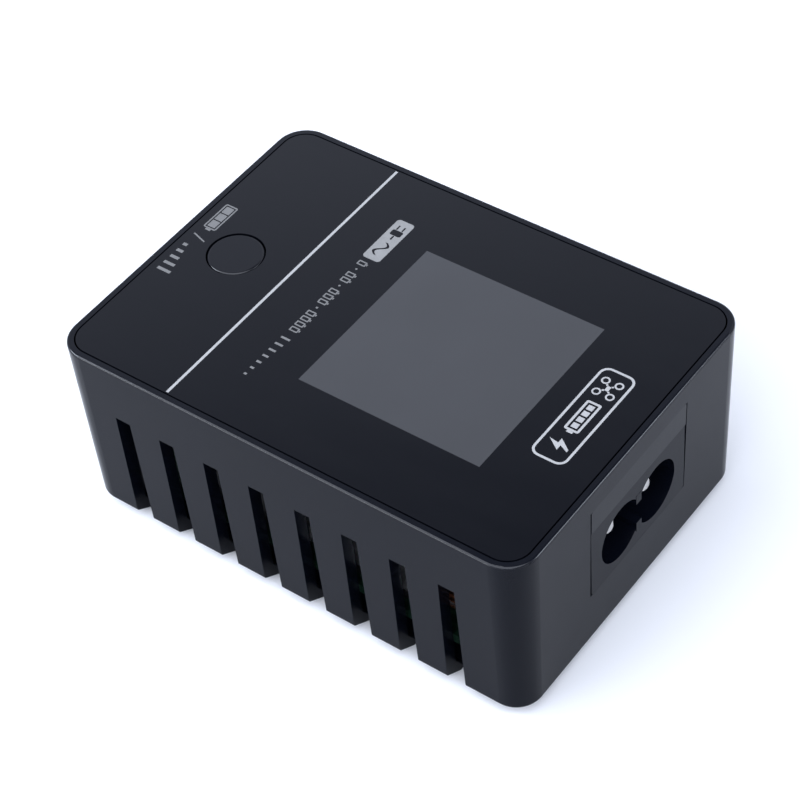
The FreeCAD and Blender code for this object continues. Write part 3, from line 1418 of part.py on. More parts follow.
def make_board_header():
    """Pin row that joins the two boards: long pins, their strip and the socket above."""
    length = "header_ways * header_pitch"
    middle = ("header_x", "header_y")
    socket_low = "(control_z - header_socket_height)"
    strip = block("HeaderStrip", (length, "header_width", "header_strip_height"), middle, BOARD_TOP)
    socket = block("HeaderSocket", (length, "header_width", "header_socket_height"), middle, socket_low)
    strip_holes = []
    socket_holes = []
    pins = []
    for way in HEADER_WAYS:
        at = header_middle(way)
        strip_holes.append(block("StripHole%d" % way, ("header_pin", "header_pin",
                                                       "header_strip_height + 2 * through"),
                                 at, BOARD_TOP + " - through"))
        socket_holes.append(block("SocketHole%d" % way, ("header_pin", "header_pin",
                                                         "header_socket_height + 2 * through"),
                                  at, socket_low + " - through"))
        pins.append(block("HeaderPin%d" % way, ("header_pin", "header_pin",
                                                "%s + header_pin_rise - board_z + tail" % CONTROL_TOP),
                          at, "board_z - tail"))
    node(cut("Strip", strip, strip_holes), "board_header_strip")
    node(cut("Socket", socket, socket_holes), "board_header_socket")
    node(group("HeaderPins", pins), "board_header_pins")


def make_control_parts():
    """Microcontroller, buzzer and display connector of the upper board."""
    node(boxed("Controller", "controller", "control_z - controller_height"), "microcontroller")
    buzzer_low = "(control_z - buzzer_height)"
    can = rod("BuzzerCan", "buzzer_radius", "buzzer_height", ("buzzer_x", "buzzer_y", buzzer_low))
    mouth = rod("BuzzerMouth", "buzzer_mouth", "buzzer_mouth + through",
                ("buzzer_x", "buzzer_y", buzzer_low + " - through"))
    node(cut("Buzzer", can, [mouth]), "buzzer")
    node(boxed("DisplayConnector", "flex_socket", CONTROL_TOP), "lcd_connector")


def finish():
    """Recompute, check every object and write one STEP file for each piece."""
    doc.recompute()
    for item in doc.Objects:
        assert "Invalid" not in item.State and "Error" not in item.State, item.Name + " failed"
    for item in nodes:
        shape = item.Shape
        assert not shape.isNull() and shape.isValid(), item.Label + " has no valid shape"
        assert shape.Solids and all(solid.isValid() for solid in shape.Solids), item.Label + " has no solid"
    os.makedirs("parts", exist_ok=True)
    for item in nodes:
        item.Shape.exportStep("parts/%s.step" % item.Label)
        print("%-26s %2d solid(s) %9.2f mm3" % (item.Label, len(item.Shape.Solids), item.Shape.Volume))


make_lower_case()
make_top_cover()
make_panel_tape()
make_faceplate()
make_display_window()
make_button()
make_push_switch()
make_display()
make_inlet()
make_output_socket()
make_balance_header()
make_power_board()
make_control_board()
make_screws()
make_sheets()
make_transformer()
make_bulk_capacitor()
make_choke()
make_mains_parts()
make_battery_parts()
make_board_header()
make_control_parts()
finish()
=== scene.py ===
import json
import math

import bpy
from mathutils import Matrix, Vector


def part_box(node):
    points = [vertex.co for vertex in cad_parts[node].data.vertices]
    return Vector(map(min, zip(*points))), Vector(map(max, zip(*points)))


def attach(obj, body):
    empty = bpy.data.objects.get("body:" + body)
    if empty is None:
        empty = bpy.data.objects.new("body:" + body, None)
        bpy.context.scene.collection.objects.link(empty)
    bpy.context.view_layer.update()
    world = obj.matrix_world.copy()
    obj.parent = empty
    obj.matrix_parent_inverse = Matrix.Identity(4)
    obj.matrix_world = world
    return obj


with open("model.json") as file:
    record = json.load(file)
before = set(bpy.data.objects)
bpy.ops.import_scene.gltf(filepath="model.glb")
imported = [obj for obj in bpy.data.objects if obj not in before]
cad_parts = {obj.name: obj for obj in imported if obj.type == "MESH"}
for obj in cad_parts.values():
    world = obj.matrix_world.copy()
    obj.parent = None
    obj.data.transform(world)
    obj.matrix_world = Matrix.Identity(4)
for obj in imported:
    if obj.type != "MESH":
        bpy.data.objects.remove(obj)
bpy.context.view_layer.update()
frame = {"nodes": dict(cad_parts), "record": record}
nodes = frame["nodes"]
record = frame["record"]

MM = 0.001
scene = bpy.context.scene


# ---------------------------------------------------------------- camera, floor and lights

LENS = 111.14
EYE = Vector((148.61, -175.27, 255.82)) * MM
FORWARD = Vector((-0.44985, 0.52764, -0.72058))
TILT = math.radians(-5.95)

FLOOR_REACH = 3.0
FLOOR_CLEARANCE = 0.02 * MM

# The surround's colours by height, as (upward part of the direction, colour).
SKIRT = (0.30, 0.32, 0.38)
BAND = (0.80, 0.86, 1.02)
CEILING = (0.055, 0.060, 0.072)
SURROUND = [(0.0, SKIRT), (0.35, SKIRT), (0.55, BAND), (0.82, CEILING)]

# The flag's edge and core say how far a direction agrees with the flag's own.
FLAG_DIRECTION = (0.74, -0.66, 0.12)
FLAG_EDGE = 0.84
FLAG_CORE = 0.95
FLAG_STRENGTH = 0.15

LIGHT_TARGET = Vector((0, 0, 0.015))
SKY_LIGHT = (0.90, 0.95, 1.08)
EDGE_LIGHT = (0.92, 0.96, 1.0)
POOL_LIGHT = (0.86, 0.94, 1.08)
POOL_SIZE = (0.12, 0.12)

# Name, place, size, power in watts and colour.
SOFTBOXES = [
    ("Overhead", (0.05, -0.65, 1.3), (2.4, 2.0), 38.5, SKY_LIGHT),
    ("FrontEdge", (-0.47, -0.90, 0.17), (0.5, 0.20), 2.4, EDGE_LIGHT),
    ("LeftPool", (-0.22, -0.14, 0.16), POOL_SIZE, 0.45, POOL_LIGHT),
    ("RightPool", (0.26, 0.14, 0.16), POOL_SIZE, 0.32, POOL_LIGHT),
]


def make_camera():
    """Long lens above the near corner, tilted a little to one side."""
    camera = bpy.data.cameras.new("Camera")
    camera.sensor_width = 36
    camera.lens = LENS
    camera.clip_start = 0.01
    view = bpy.data.objects.new("Camera", camera)
    scene.collection.objects.link(view)
    level = FORWARD.to_track_quat("-Z", "Y").to_matrix().to_4x4()
    view.matrix_world = Matrix.Translation(EYE) @ level @ Matrix.Rotation(TILT, 4, "Z")
    scene.camera = view


def make_floor():
    """Pale seamless floor that the case stands on."""
    mesh = bpy.data.meshes.new("Floor")
    side = FLOOR_REACH
    corners = [(-side, -side, 0), (side, -side, 0), (side, side, 0), (-side, side, 0)]
    mesh.from_pydata(corners, [], [(0, 1, 2, 3)])
    floor = bpy.data.objects.new("Floor", mesh)
    floor.location.z = -FLOOR_CLEARANCE
    scene.collection.objects.link(floor)
    surface = Surface("FloorPaper", Roughness=0.9)
    surface.input("Specular IOR Level", 0.0)
    surface.colour(surface.noise(3, detail=2), (0.93, 0.93, 0.93), (0.95, 0.95, 0.95))
    mesh.materials.append(surface.material)


def fill_stops(elements, stops):
    """Fill a new colour ramp with (position, colour) stops."""
    for _ in stops[2:]:
        elements.new(0.5)
    for element, (position, colour) in zip(elements, stops):
        element.position = position
        element.color = (*colour, 1)


def make_world():
    """Studio surround: a bright band at mid height, a dim ceiling and a black flag off the near corner."""
    world = bpy.data.worlds.new("Studio")
    scene.world = world
    world.use_nodes = True
    tree = world.node_tree
    background = tree.nodes["Background"]
    direction = tree.nodes.new("ShaderNodeTexCoord").outputs["Generated"]
    split = tree.nodes.new("ShaderNodeSeparateXYZ")
    tree.links.new(direction, split.inputs[0])
    fade = tree.nodes.new("ShaderNodeValToRGB")
    fade.color_ramp.interpolation = "EASE"
    fill_stops(fade.color_ramp.elements, SURROUND)
    tree.links.new(split.outputs["Z"], fade.inputs[0])
    tree.links.new(fade.outputs[0], background.inputs["Color"])
    agreement = tree.nodes.new("ShaderNodeVectorMath")
    agreement.operation = "DOT_PRODUCT"
    tree.links.new(direction, agreement.inputs[0])
    agreement.inputs[1].default_value = FLAG_DIRECTION
    flag = tree.nodes.new("ShaderNodeMapRange")
    tree.links.new(agreement.outputs["Value"], flag.inputs["Value"])
    flag.inputs["From Min"].default_value = FLAG_EDGE
    flag.inputs["From Max"].default_value = FLAG_CORE
    flag.inputs["To Min"].default_value = 1.0
    flag.inputs["To Max"].default_value = FLAG_STRENGTH
    tree.links.new(flag.outputs["Result"], background.inputs["Strength"])


def add_softbox(name, place, size, power, colour):
    """Rectangular soft light aimed at the middle of the case."""
    light = bpy.data.lights.new(name, "AREA")
    light.shape = "RECTANGLE"
    light.size, light.size_y = size
    light.energy = power
    light.color = colour
    box = bpy.data.objects.new(name, light)
    box.location = place
    aim = LIGHT_TARGET - Vector(place)
    box.rotation_euler = aim.to_track_quat("-Z", "Y").to_euler()
    scene.collection.objects.link(box)


# ---------------------------------------------------------------- materials

DARK_PLASTIC = (0.0024, 0.0032, 0.0062)
DUST = 0.0015


class Surface:
    """One Principled material; textures are laid in the object's own metres."""

    def __init__(self, name, **sockets):
        self.material = bpy.data.materials.new(name)
        self.material.use_nodes = True
        self.tree = self.material.node_tree
        self.shader = self.tree.nodes["Principled BSDF"]
        self.place = self.add("ShaderNodeTexCoord").outputs["Object"]
        for socket, amount in sockets.items():
            self.input(socket, amount)

    def input(self, socket, amount):
        """Set one of the shader's own sockets to an even value."""
        self.shader.inputs[socket].default_value = amount

    def add(self, kind, **settings):
        item = self.tree.nodes.new(kind)
        for setting, amount in settings.items():
            setattr(item, setting, amount)
        return item

    def link(self, output, socket):
        self.tree.links.new(output, socket)

    def stretched(self, stretch):
        """Texture place, scaled along each axis."""
        mapping = self.add("ShaderNodeMapping")
        mapping.inputs["Scale"].default_value = stretch
        self.link(self.place, mapping.inputs["Vector"])
        return mapping.outputs["Vector"]

    def noise(self, scale, detail, stretch=None):
        """Cloudy noise; scale counts its features in a metre."""
        item = self.add("ShaderNodeTexNoise")
        item.inputs["Scale"].default_value = scale
        item.inputs["Detail"].default_value = detail
        self.link(self.stretched(stretch) if stretch else self.place, item.inputs["Vector"])
        return item.outputs["Fac"]

    def cells(self, scale):
        """Distance field of scattered cells."""
        item = self.add("ShaderNodeTexVoronoi")
        item.inputs["Scale"].default_value = scale
        self.link(self.place, item.inputs["Vector"])
        return item.outputs["Distance"]

    def bands(self, scale, axis, distortion=0.0):
        """Parallel lines across an axis."""
        item = self.add("ShaderNodeTexWave", wave_type="BANDS", bands_direction=axis)
        item.inputs["Scale"].default_value = scale
        item.inputs["Distortion"].default_value = distortion
        self.link(self.place, item.inputs["Vector"])
        return item.outputs["Fac"]

    def net(self, scale):
        """Even net of lines along both flat axes."""
        return self.mixed(self.bands(scale, "X"), self.bands(scale, "Y"), share=0.5)

    def ramp(self, factor, stops):
        """Colour ramp of (position, colour) stops."""
        item = self.add("ShaderNodeValToRGB")
        fill_stops(item.color_ramp.elements, stops)
        self.link(factor, item.inputs[0])
        return item.outputs["Color"]

    def colour(self, factor, dark, light, start=0.3, end=0.7):
        """Base colour that goes from dark to light as the factor goes from start to end."""
        self.link(self.ramp(factor, [(start, dark), (end, light)]), self.shader.inputs["Base Color"])

    def mapped(self, factor, low, high, start=0.3, end=0.7):
        """Value that goes from low to high as the factor goes from start to end."""
        item = self.add("ShaderNodeMapRange")
        self.link(factor, item.inputs["Value"])
        item.inputs["From Min"].default_value = start
        item.inputs["From Max"].default_value = end
        item.inputs["To Min"].default_value = low
        item.inputs["To Max"].default_value = high
        return item.outputs["Result"]

    def roughness(self, factor, low, high):
        self.link(self.mapped(factor, low, high), self.shader.inputs["Roughness"])

    def painted_light_specular_by_height(self, levels):
        """Specular level that runs straight from one (height, value) level to the next, painting stronger
        and weaker reflection by height.
        """
        split = self.add("ShaderNodeSeparateXYZ")
        self.link(self.place, split.inputs[0])
        total = None
        for (low, first), (high, last) in zip(levels, levels[1:]):
            start = first if total is None else 0.0
            rise = self.mapped(split.outputs["Z"], start, last - first + start, low, high)
            if total is None:
                total = rise
                continue
            item = self.add("ShaderNodeMath", operation="ADD")
            self.link(total, item.inputs[0])
            self.link(rise, item.inputs[1])
            total = item.outputs["Value"]
        self.link(total, self.shader.inputs["Specular IOR Level"])

    def mixed(self, first, second, share):
        """Blend of two factors, with the second's share."""
        item = self.add("ShaderNodeMix", data_type="FLOAT")
        item.inputs["Factor"].default_value = share
        self.link(first, item.inputs["A"])
        self.link(second, item.inputs["B"])
        return item.outputs["Result"]

    def bump(self, height, depth):
        """Surface relief of a depth in metres."""
        item = self.add("ShaderNodeBump")
        item.inputs["Distance"].default_value = depth
        self.link(height, item.inputs["Height"])
        self.link(item.outputs["Normal"], self.shader.inputs["Normal"])


def shade(colour, amount):
    """The colour made darker or lighter, up to full white."""
    return tuple(min(1.0, c * amount) for c in colour)


def moulded_surface(name, colour, roughness, specular=0.4, grain=3800, depth=0.006, spread=0.12):
    """Spark-eroded satin plastic: fine grain, faint flow clouding and handling marks."""
    surface = Surface(name)
    surface.input("Specular IOR Level", specular)
    clouds = surface.noise(90, detail=4)
    grit = surface.noise(grain, detail=2)
    clouding = surface.mixed(clouds, grit, share=0.35)
    surface.colour(clouding, shade(colour, 1 - spread), shade(colour, 1 + spread))
    surface.roughness(surface.noise(260, detail=5), roughness - 0.03, roughness + 0.03)
    surface.bump(surface.mixed(grit, surface.cells(grain * 0.6), share=0.4), depth * MM)
    return surface


def moulded_plastic(name, colour, roughness, **settings):
    return moulded_surface(name, colour, roughness, **settings).material


def case_shell(name):
    """Satin walls under a rim land that is truly glossier, with painted light in the specular level by
    height: painted shade as weaker reflection towards the bottom, and a painted highlight where the rim
    land's raised specular sits in the front lamp's glint; the even specular set on the socket stands in
    wherever the linked one is lost.
    """
    surface = moulded_surface(name, DARK_PLASTIC, 0.20, specular=0.06, grain=5200, depth=0.002)
    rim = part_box("lower_case")[1].z
    # Painted shade: the specular fades from below the rim towards the bottom. Painted highlight: the
    # specular rises on the rim land just where the front lamp glints along the edge.
    surface.painted_light_specular_by_height([
        (0, 0.050),
        (rim - 3 * MM, 0.062),
        (rim - 0.30 * MM, 0.062),
        (rim - 0.20 * MM, 0.45),
    ])
    return surface.material


def inlet_shell(name):
    """Inlet moulding with painted light in its specular level by height: a painted lighter upper band that
    reflects more than the main face below, and painted shade as weaker reflection towards the bottom.
    """
    surface = moulded_surface(name, DARK_PLASTIC, 0.21, specular=0.07, grain=4600, depth=0.002, spread=0.10)
    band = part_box("ac_inlet_housing")[1].z - 4 * MM
    # Painted light: specular lower towards the bottom and raised on the upper band.
    surface.painted_light_specular_by_height([
        (0, 0.045),
        (band - 0.1 * MM, 0.050),
        (band + 0.1 * MM, 0.082),
    ])
    return surface.material


def gloss_plastic(name, colour, roughness, coat=0.0):
    """Polished plastic: faint orange peel, wipe marks and a few specks of dust."""
    surface = Surface(name)
    surface.input("Coat Weight", coat)
    surface.input("Coat Roughness", 0.04)
    dusty = tuple(c + DUST for c in colour)
    stops = [(0.0, dusty), (0.035, shade(colour, 1.04)), (1.0, shade(colour, 0.97))]
    surface.link(surface.ramp(surface.cells(900), stops), surface.shader.inputs["Base Color"])
    wipes = surface.noise(60, detail=6, stretch=(1.0, 3.5, 1.0))
    surface.roughness(wipes, roughness * 0.85, roughness * 1.2)
    surface.bump(surface.noise(420, detail=2), 0.0015 * MM)
    return surface.material


def bare_metal(name, colour, roughness, stretch=(1, 1, 1)):
    """Metal with a drawn or plated grain and slight tarnish."""
    surface = Surface(name, Metallic=1.0)
    grain = surface.noise(2500, detail=4, stretch=stretch)
    surface.colour(surface.noise(220, detail=4), shade(colour, 0.82), shade(colour, 1.08))
    surface.roughness(grain, roughness * 0.7, roughness * 1.35)
    surface.bump(grain, 0.002 * MM)
    return surface.material


def solder_mask(name, colour):
    """Circuit board: lacquer over a net of tracks, with a cloth weave beneath."""
    surface = Surface(name, Roughness=0.3)
    tracks = surface.add("ShaderNodeTexBrick", offset=0.37, squash=0.7, squash_frequency=3)
    tracks.inputs["Scale"].default_value = 160
    tracks.inputs["Mortar Size"].default_value = 0.035
    for part, amount in (("Color1", 0.9), ("Color2", 1.15), ("Mortar", 1.9)):
        tracks.inputs[part].default_value = (*shade(colour, amount), 1)
    surface.link(surface.place, tracks.inputs["Vector"])
    surface.link(tracks.outputs["Color"], surface.shader.inputs["Base Color"])
    surface.bump(surface.mixed(surface.net(700), tracks.outputs["Fac"], share=0.6), 0.012 * MM)
    return surface.material


def sintered(name, colour):
    """Ferrite or pressed powder: fine pits and a greyish grain."""
    surface = Surface(name)
    pits = surface.cells(2600)
    grain = surface.mixed(surface.noise(1500, detail=5), pits, share=0.4)
    surface.colour(grain, shade(colour, 0.6), shade(colour, 1.5))
    surface.roughness(surface.noise(800, detail=3), 0.52, 0.74)
    surface.bump(pits, 0.03 * MM)
    return surface.material


def wrapped(name, colour, pitch, axis, roughness, groove):
    """Layers wound one beside the next: tape or enamelled wire, with its pitch in millimetres."""
    surface = Surface(name, Roughness=roughness)
    turns = surface.bands(1.0 / (pitch * MM) / math.tau, axis, distortion=0.4)
    clouding = surface.mixed(turns, surface.noise(300, detail=4), share=0.35)
    surface.colour(clouding, shade(colour, 1 - groove), shade(colour, 1.15))
    surface.bump(turns, 0.05 * MM)
    return surface.material


def sleeved(name, colour, mark):
    """Shrink sleeve with a pale polarity stripe along one side."""
    surface = Surface(name, Roughness=0.24)
    surface.input("Coat Weight", 0.3)
    split = surface.add("ShaderNodeSeparateXYZ")
    surface.link(surface.add("ShaderNodeNewGeometry").outputs["Normal"], split.inputs[0])
    stripe = surface.mapped(split.outputs["Y"], 0.0, 1.0, start=-0.9, end=-0.94)
    base = surface.mixed(stripe, surface.noise(500, detail=3), share=0.08)
    surface.colour(base, colour, mark, start=0.45, end=0.55)
    surface.bump(surface.noise(700, detail=3), 0.008 * MM)
    return surface.material


def paper_label(name, colour):
    """Satin label film with fibres."""
    surface = Surface(name, Roughness=0.42)
    fibres = surface.noise(1400, detail=5, stretch=(1, 4, 1))
    surface.colour(fibres, shade(colour, 0.93), shade(colour, 1.04))
    surface.bump(fibres, 0.004 * MM)
    return surface.material


def foam(name, colour):
    """Closed-cell foam or tape edge."""
    surface = Surface(name, Roughness=0.9)
    bubbles = surface.cells(3200)
    surface.colour(bubbles, shade(colour, 0.5), shade(colour, 1.6), start=0.1, end=0.8)
    surface.bump(bubbles, 0.05 * MM)
    return surface.material


def display_lens(name):
    """Clear lens over a blank display: even grey with a faint grid of picture elements."""
    surface = Surface(name, Roughness=0.22)
    surface.input("Specular IOR Level", 0.45)
    surface.input("Coat Weight", 0.2)
    surface.input("Coat Roughness", 0.1)
    grey = surface.mixed(surface.net(1150), surface.noise(70, detail=4), share=0.75)
    surface.colour(grey, (0.051, 0.052, 0.055), (0.057, 0.058, 0.062))
    surface.bump(surface.noise(900, detail=2), 0.0006 * MM)
    return surface.material


def ink(name, colour):
    """Screen-printed ink: slightly uneven cover with tiny pinholes."""
    surface = Surface(name, Roughness=0.55)
    pinholes = surface.mixed(surface.noise(5000, detail=2), surface.noise(700, detail=3), share=0.5)
    surface.colour(pinholes, shade(colour, 0.86), shade(colour, 1.05))
    surface.bump(pinholes, 0.004 * MM)
    return surface.material


def frosted_glass(name, colour):
    """Dark display glass with its polariser."""
    surface = Surface(name, Roughness=0.08)
    surface.colour(surface.noise(120, detail=3), shade(colour, 0.9), shade(colour, 1.1))
    surface.bump(surface.noise(600, detail=2), 0.001 * MM)
    return surface.material


# One material for each slot in the record.
MATERIALS = {
    "case_plastic": case_shell("CasePlastic"),
    "panel_gloss": gloss_plastic("PanelGloss", (0.0022, 0.0027, 0.0048), 0.16),
    "panel_tape": foam("PanelTape", (0.02, 0.02, 0.02)),
    "display_lens": display_lens("DisplayLens"),
    "button_gloss": gloss_plastic("ButtonGloss", (0.0046, 0.0052, 0.0076), 0.2),
    "switch_plastic": moulded_plastic("SwitchPlastic", (0.02, 0.02, 0.021), 0.5),
    "switch_metal": bare_metal("SwitchMetal", (0.62, 0.62, 0.63), 0.3, stretch=(1, 6, 1)),
    "plunger_plastic": moulded_plastic("PlungerPlastic", (0.32, 0.05, 0.04), 0.45),
    "display_glass": frosted_glass("DisplayGlass", (0.05, 0.05, 0.06)),
    "display_frame": moulded_plastic("DisplayFrame", (0.74, 0.74, 0.72), 0.5),
    "foam_black": foam("FoamBlack", (0.02, 0.02, 0.02)),
    "flex_amber": wrapped("FlexAmber", (0.36, 0.16, 0.04), 0.5, "Y", roughness=0.3, groove=0.25),
    "connector_ivory": moulded_plastic("ConnectorIvory", (0.78, 0.74, 0.64), 0.42,
                                       specular=0.5, grain=2600, depth=0.01, spread=0.05),
    "inlet_plastic": inlet_shell("InletPlastic"),
    "nickel_plate": bare_metal("NickelPlate", (0.55, 0.54, 0.52), 0.12),
    "socket_amber": moulded_plastic("SocketAmber", (0.80, 0.42, 0.02), 0.33,
                                    specular=0.5, grain=2600, depth=0.008, spread=0.06),
    "gold_plate": bare_metal("GoldPlate", (0.90, 0.66, 0.26), 0.2, stretch=(6, 1, 1)),
    "tin_plate": bare_metal("TinPlate", (0.72, 0.72, 0.70), 0.28, stretch=(6, 1, 1)),
    "board_green": solder_mask("BoardGreen", (0.004, 0.016, 0.009)),
    "screw_steel": bare_metal("ScrewSteel", (0.12, 0.12, 0.13), 0.36),
    "screw_zinc": bare_metal("ScrewZinc", (0.62, 0.62, 0.60), 0.3),
    "sheet_film": gloss_plastic("SheetFilm", (0.52, 0.50, 0.40), 0.3),
    "label_film": paper_label("LabelFilm", (0.42, 0.43, 0.45)),
    "ferrite": sintered("Ferrite", (0.045, 0.045, 0.05)),
    "bobbin_black": moulded_plastic("BobbinBlack", (0.02, 0.02, 0.02), 0.55),
    "coil_tape": wrapped("CoilTape", (0.75, 0.52, 0.05), 2.4, "Y", roughness=0.28, groove=0.12),
    "enamel_copper": wrapped("EnamelCopper", (0.075, 0.028, 0.014), 0.55, "Z", roughness=0.25, groove=0.6),
    "can_sleeve": sleeved("CanSleeve", (0.012, 0.014, 0.03), (0.45, 0.46, 0.48)),
    "film_yellow": moulded_plastic("FilmYellow", (0.72, 0.55, 0.06), 0.3,
                                   specular=0.5, grain=1800, depth=0.01, spread=0.06),
    "disc_blue": gloss_plastic("DiscBlue", (0.05, 0.17, 0.46), 0.25, coat=0.3),
    "fuse_brown": moulded_plastic("FuseBrown", (0.11, 0.045, 0.03), 0.45),
    "chip_black": moulded_plastic("ChipBlack", (0.022, 0.022, 0.024), 0.6, grain=2200, depth=0.015),
    "aluminium_plate": bare_metal("AluminiumPlate", (0.78, 0.79, 0.80), 0.34, stretch=(1, 1, 9)),
    "inductor_grey": sintered("InductorGrey", (0.10, 0.10, 0.11)),
    "header_black": moulded_plastic("HeaderBlack", (0.02, 0.02, 0.02), 0.5),
}
INK_WHITE = ink("InkWhite", (0.42, 0.42, 0.415))
INK_TAG = ink("InkTag", (0.28, 0.28, 0.275))
INK_GREY = ink("InkGrey", (0.18, 0.18, 0.178))
INK_DARK = ink("InkDark", (0.03, 0.03, 0.035))


def dress_cad_nodes():
    """Give every CAD node the material of its slot."""
    for part in record["subparts"]:
        mesh = nodes[part["node"]].data
        mesh.materials.clear()
        mesh.materials.append(MATERIALS[part["material_slot"]])


# ---------------------------------------------------------------- printed marks, in millimetres

INK_THICKNESS = 0.012
SMALLEST_RADIUS = 0.02


class Print:
    """Flat marks printed on a face: u runs the way a line reads, v towards its top, in millimetres."""

    def __init__(self, name, origin, reading, facing):
        self.curve = bpy.data.curves.new(name, "CURVE")
        self.curve.dimensions = "2D"
        self.curve.fill_mode = "BOTH"
        self.curve.extrude = INK_THICKNESS / 2
        self.name = name
        across = Vector(reading)
        normal = Vector(facing)
        axes = Matrix((across, normal.cross(across), normal)).transposed().to_4x4()
        lifted = Vector(origin) + normal * INK_THICKNESS / 2
        self.matrix = Matrix.Scale(MM, 4) @ Matrix.Translation(lifted) @ axes

    def loop(self, points):
        """Closed outline; one inside another leaves a hole."""
        spline = self.curve.splines.new("POLY")
        spline.points.add(len(points) - 1)
        for item, (u, v) in zip(spline.points, points):
            item.co = (u, v, 0, 1)
        spline.use_cyclic_u = True

    def box(self, u, v, width, height, radius=0.0):
        """Rectangle by its lower left corner, with rounded corners where a radius is given."""
        if radius <= 0:
            self.loop([(u, v), (u + width, v), (u + width, v + height), (u, v + height)])
            return
        middles = [(u + width - radius, v + radius), (u + width - radius, v + height - radius),
                   (u + radius, v + height - radius), (u + radius, v + radius)]
        steps = 6
        points = []
        for quarter, (cu, cv) in enumerate(middles):
            for step in range(steps + 1):
                angle = math.pi / 2 * (quarter - 1 + step / steps)
                points.append((cu + radius * math.cos(angle), cv + radius * math.sin(angle)))
        self.loop(points)

    def frame(self, u, v, width, height, radius, stroke):
        """Outlined rounded rectangle."""
        self.box(u, v, width, height, radius)
        inner_radius = max(radius - stroke, SMALLEST_RADIUS)
        self.box(u + stroke, v + stroke, width - 2 * stroke, height - 2 * stroke, inner_radius)

    def disc(self, u, v, radius):
        steps = 28
        turns = [math.tau * i / steps for i in range(steps)]
        self.loop([(u + radius * math.cos(a), v + radius * math.sin(a)) for a in turns])

    def ring(self, u, v, radius, stroke):
        self.disc(u, v, radius)
        self.disc(u, v, radius - stroke)

    def stroke(self, start, end, width):
        """Straight bar from one point to another."""
        a, b = Vector(start), Vector(end)
        side = (b - a).normalized().orthogonal() * width / 2
        self.loop([tuple(p) for p in (a - side, b - side, b + side, a + side)])

    def wave(self, u, v, length, height, width):
        """One period of a sine, as a band of a width."""
        steps = 24
        line = []
        for i in range(steps + 1):
            line.append((u + length * i / steps, v + height / 2 * math.sin(math.tau * i / steps)))
        upper = [(a, b + width / 2) for a, b in line]
        lower = [(a, b - width / 2) for a, b in reversed(line)]
        self.loop(upper + lower)

    def battery(self, u, v, width, height, stroke, cells):
        """Battery outline with its terminal and filled cells."""
        terminal = 0.16 * height
        body = width - terminal
        self.frame(u, v, body, height, 0.14 * height, stroke)
        self.box(u + body + 0.02, v + 0.3 * height, terminal, 0.4 * height)
        gap = stroke * 0.9
        room = body - 2 * stroke - gap
        cell_height = height - 2 * stroke - 2 * gap
        for i in range(cells):
            self.box(u + stroke + gap + i * room / cells, v + stroke + gap, room / cells - gap, cell_height)

    def bolt(self, u, v, width, height):
        """Lightning flash."""
        shape = [(0.62, 1.0), (0.08, 0.44), (0.44, 0.44), (0.34, 0.0),
                 (0.92, 0.60), (0.54, 0.60), (0.80, 1.0)]
        self.loop([(u + a * width, v + b * height) for a, b in shape])

    def finish(self, material, slot, body):
        """Turn the outlines into a mesh piece that rides on a body."""
        scratch = bpy.data.objects.new(self.name + "_outline", self.curve)
        scene.collection.objects.link(scratch)
        bpy.context.view_layer.update()
        mesh = bpy.data.meshes.new_from_object(scratch.evaluated_get(bpy.context.evaluated_depsgraph_get()))
        bpy.data.objects.remove(scratch)
        mesh.name = self.name
        mesh.transform(self.matrix)
        mesh.materials.clear()
        mesh.materials.append(material)
        piece = bpy.data.objects.new(self.name, mesh)
        scene.collection.objects.link(piece)
        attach(piece, body)


PANEL_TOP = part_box("faceplate")[1].z / MM
TO_NEAR_SIDE = (0, -1, 0)
UP = (0, 0, 1)
DOWN = (0, 0, -1)


def panel_print(name, x, y):
    """Mark on the panel whose line starts at (x, y) and reads towards the near side."""
    return Print(name, (x, y, PANEL_TOP), TO_NEAR_SIDE, UP)


def print_divider():
    """Line across the panel between the button's field and the display's, just short of both edges."""
    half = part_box("faceplate")[1].y / MM - 0.18
    line = panel_print("print_divider", -18.6, half)
    line.box(0, 0, 2 * half, 0.4)
    line.finish(INK_WHITE, "panel_gloss", "case")


def print_button_legend():
    """Battery, slash and rising level bars beside the button."""
    mark = panel_print("print_button_legend", -34.7, 7.3)
    mark.battery(0.0, 0.1, 5.6, 2.1, stroke=0.22, cells=3)
    mark.stroke((7.0, 0.0), (7.7, 2.3), 0.22)
    bar_width, bar_pitch = 0.5, 1.36
    for i in range(5):
        mark.box(9.2 + i * bar_pitch, 0.05, bar_width, 0.7 + i * 0.38)
    mark.finish(INK_GREY, "panel_gloss", "case")


def print_tag():
    """Filled tag with a plug and a wave left out of the ink."""
    mark = panel_print("print_tag", -12.4, 17.3)
    mark.box(0, 0, 8.5, 2.8, radius=0.5)
    for prong_v in (1.75, 0.85):
        mark.box(1.0, prong_v, 0.9, 0.24)
    mark.box(1.98, 0.55, 1.1, 1.74, radius=0.3)
    mark.box(3.14, 1.28, 0.8, 0.26)
    mark.wave(4.7, 1.4, 2.8, 1.3, width=0.42)
    mark.finish(INK_TAG, "panel_gloss", "case")


def print_caption():
    """Packs of one to four cells in a row, with a dot between packs, then a row of falling bars."""
    mark = panel_print("print_caption", -12.15, 8.0)
    cell_pitch = 1.18
    pack_gap = 0.55
    dot_room = 0.85
    most_cells = 4
    u = 0.0
    for cells in range(1, most_cells + 1):
        for _ in range(cells):
            mark.frame(u, 0.05, 0.86, 1.35, 0.1, stroke=0.2)
            mark.box(u + 0.26, 1.44, 0.34, 0.2)
            u += cell_pitch
        u += pack_gap
        if cells < most_cells:
            mark.disc(u, 0.75, 0.17)
            u += dot_room
    bar_width, bar_pitch = 0.34, 1.3
    for i in range(7):
        mark.box(u + 0.5 + i * bar_pitch, 0.05, bar_width, 1.45 - 0.17 * i)
    mark.finish(INK_GREY, "panel_gloss", "case")


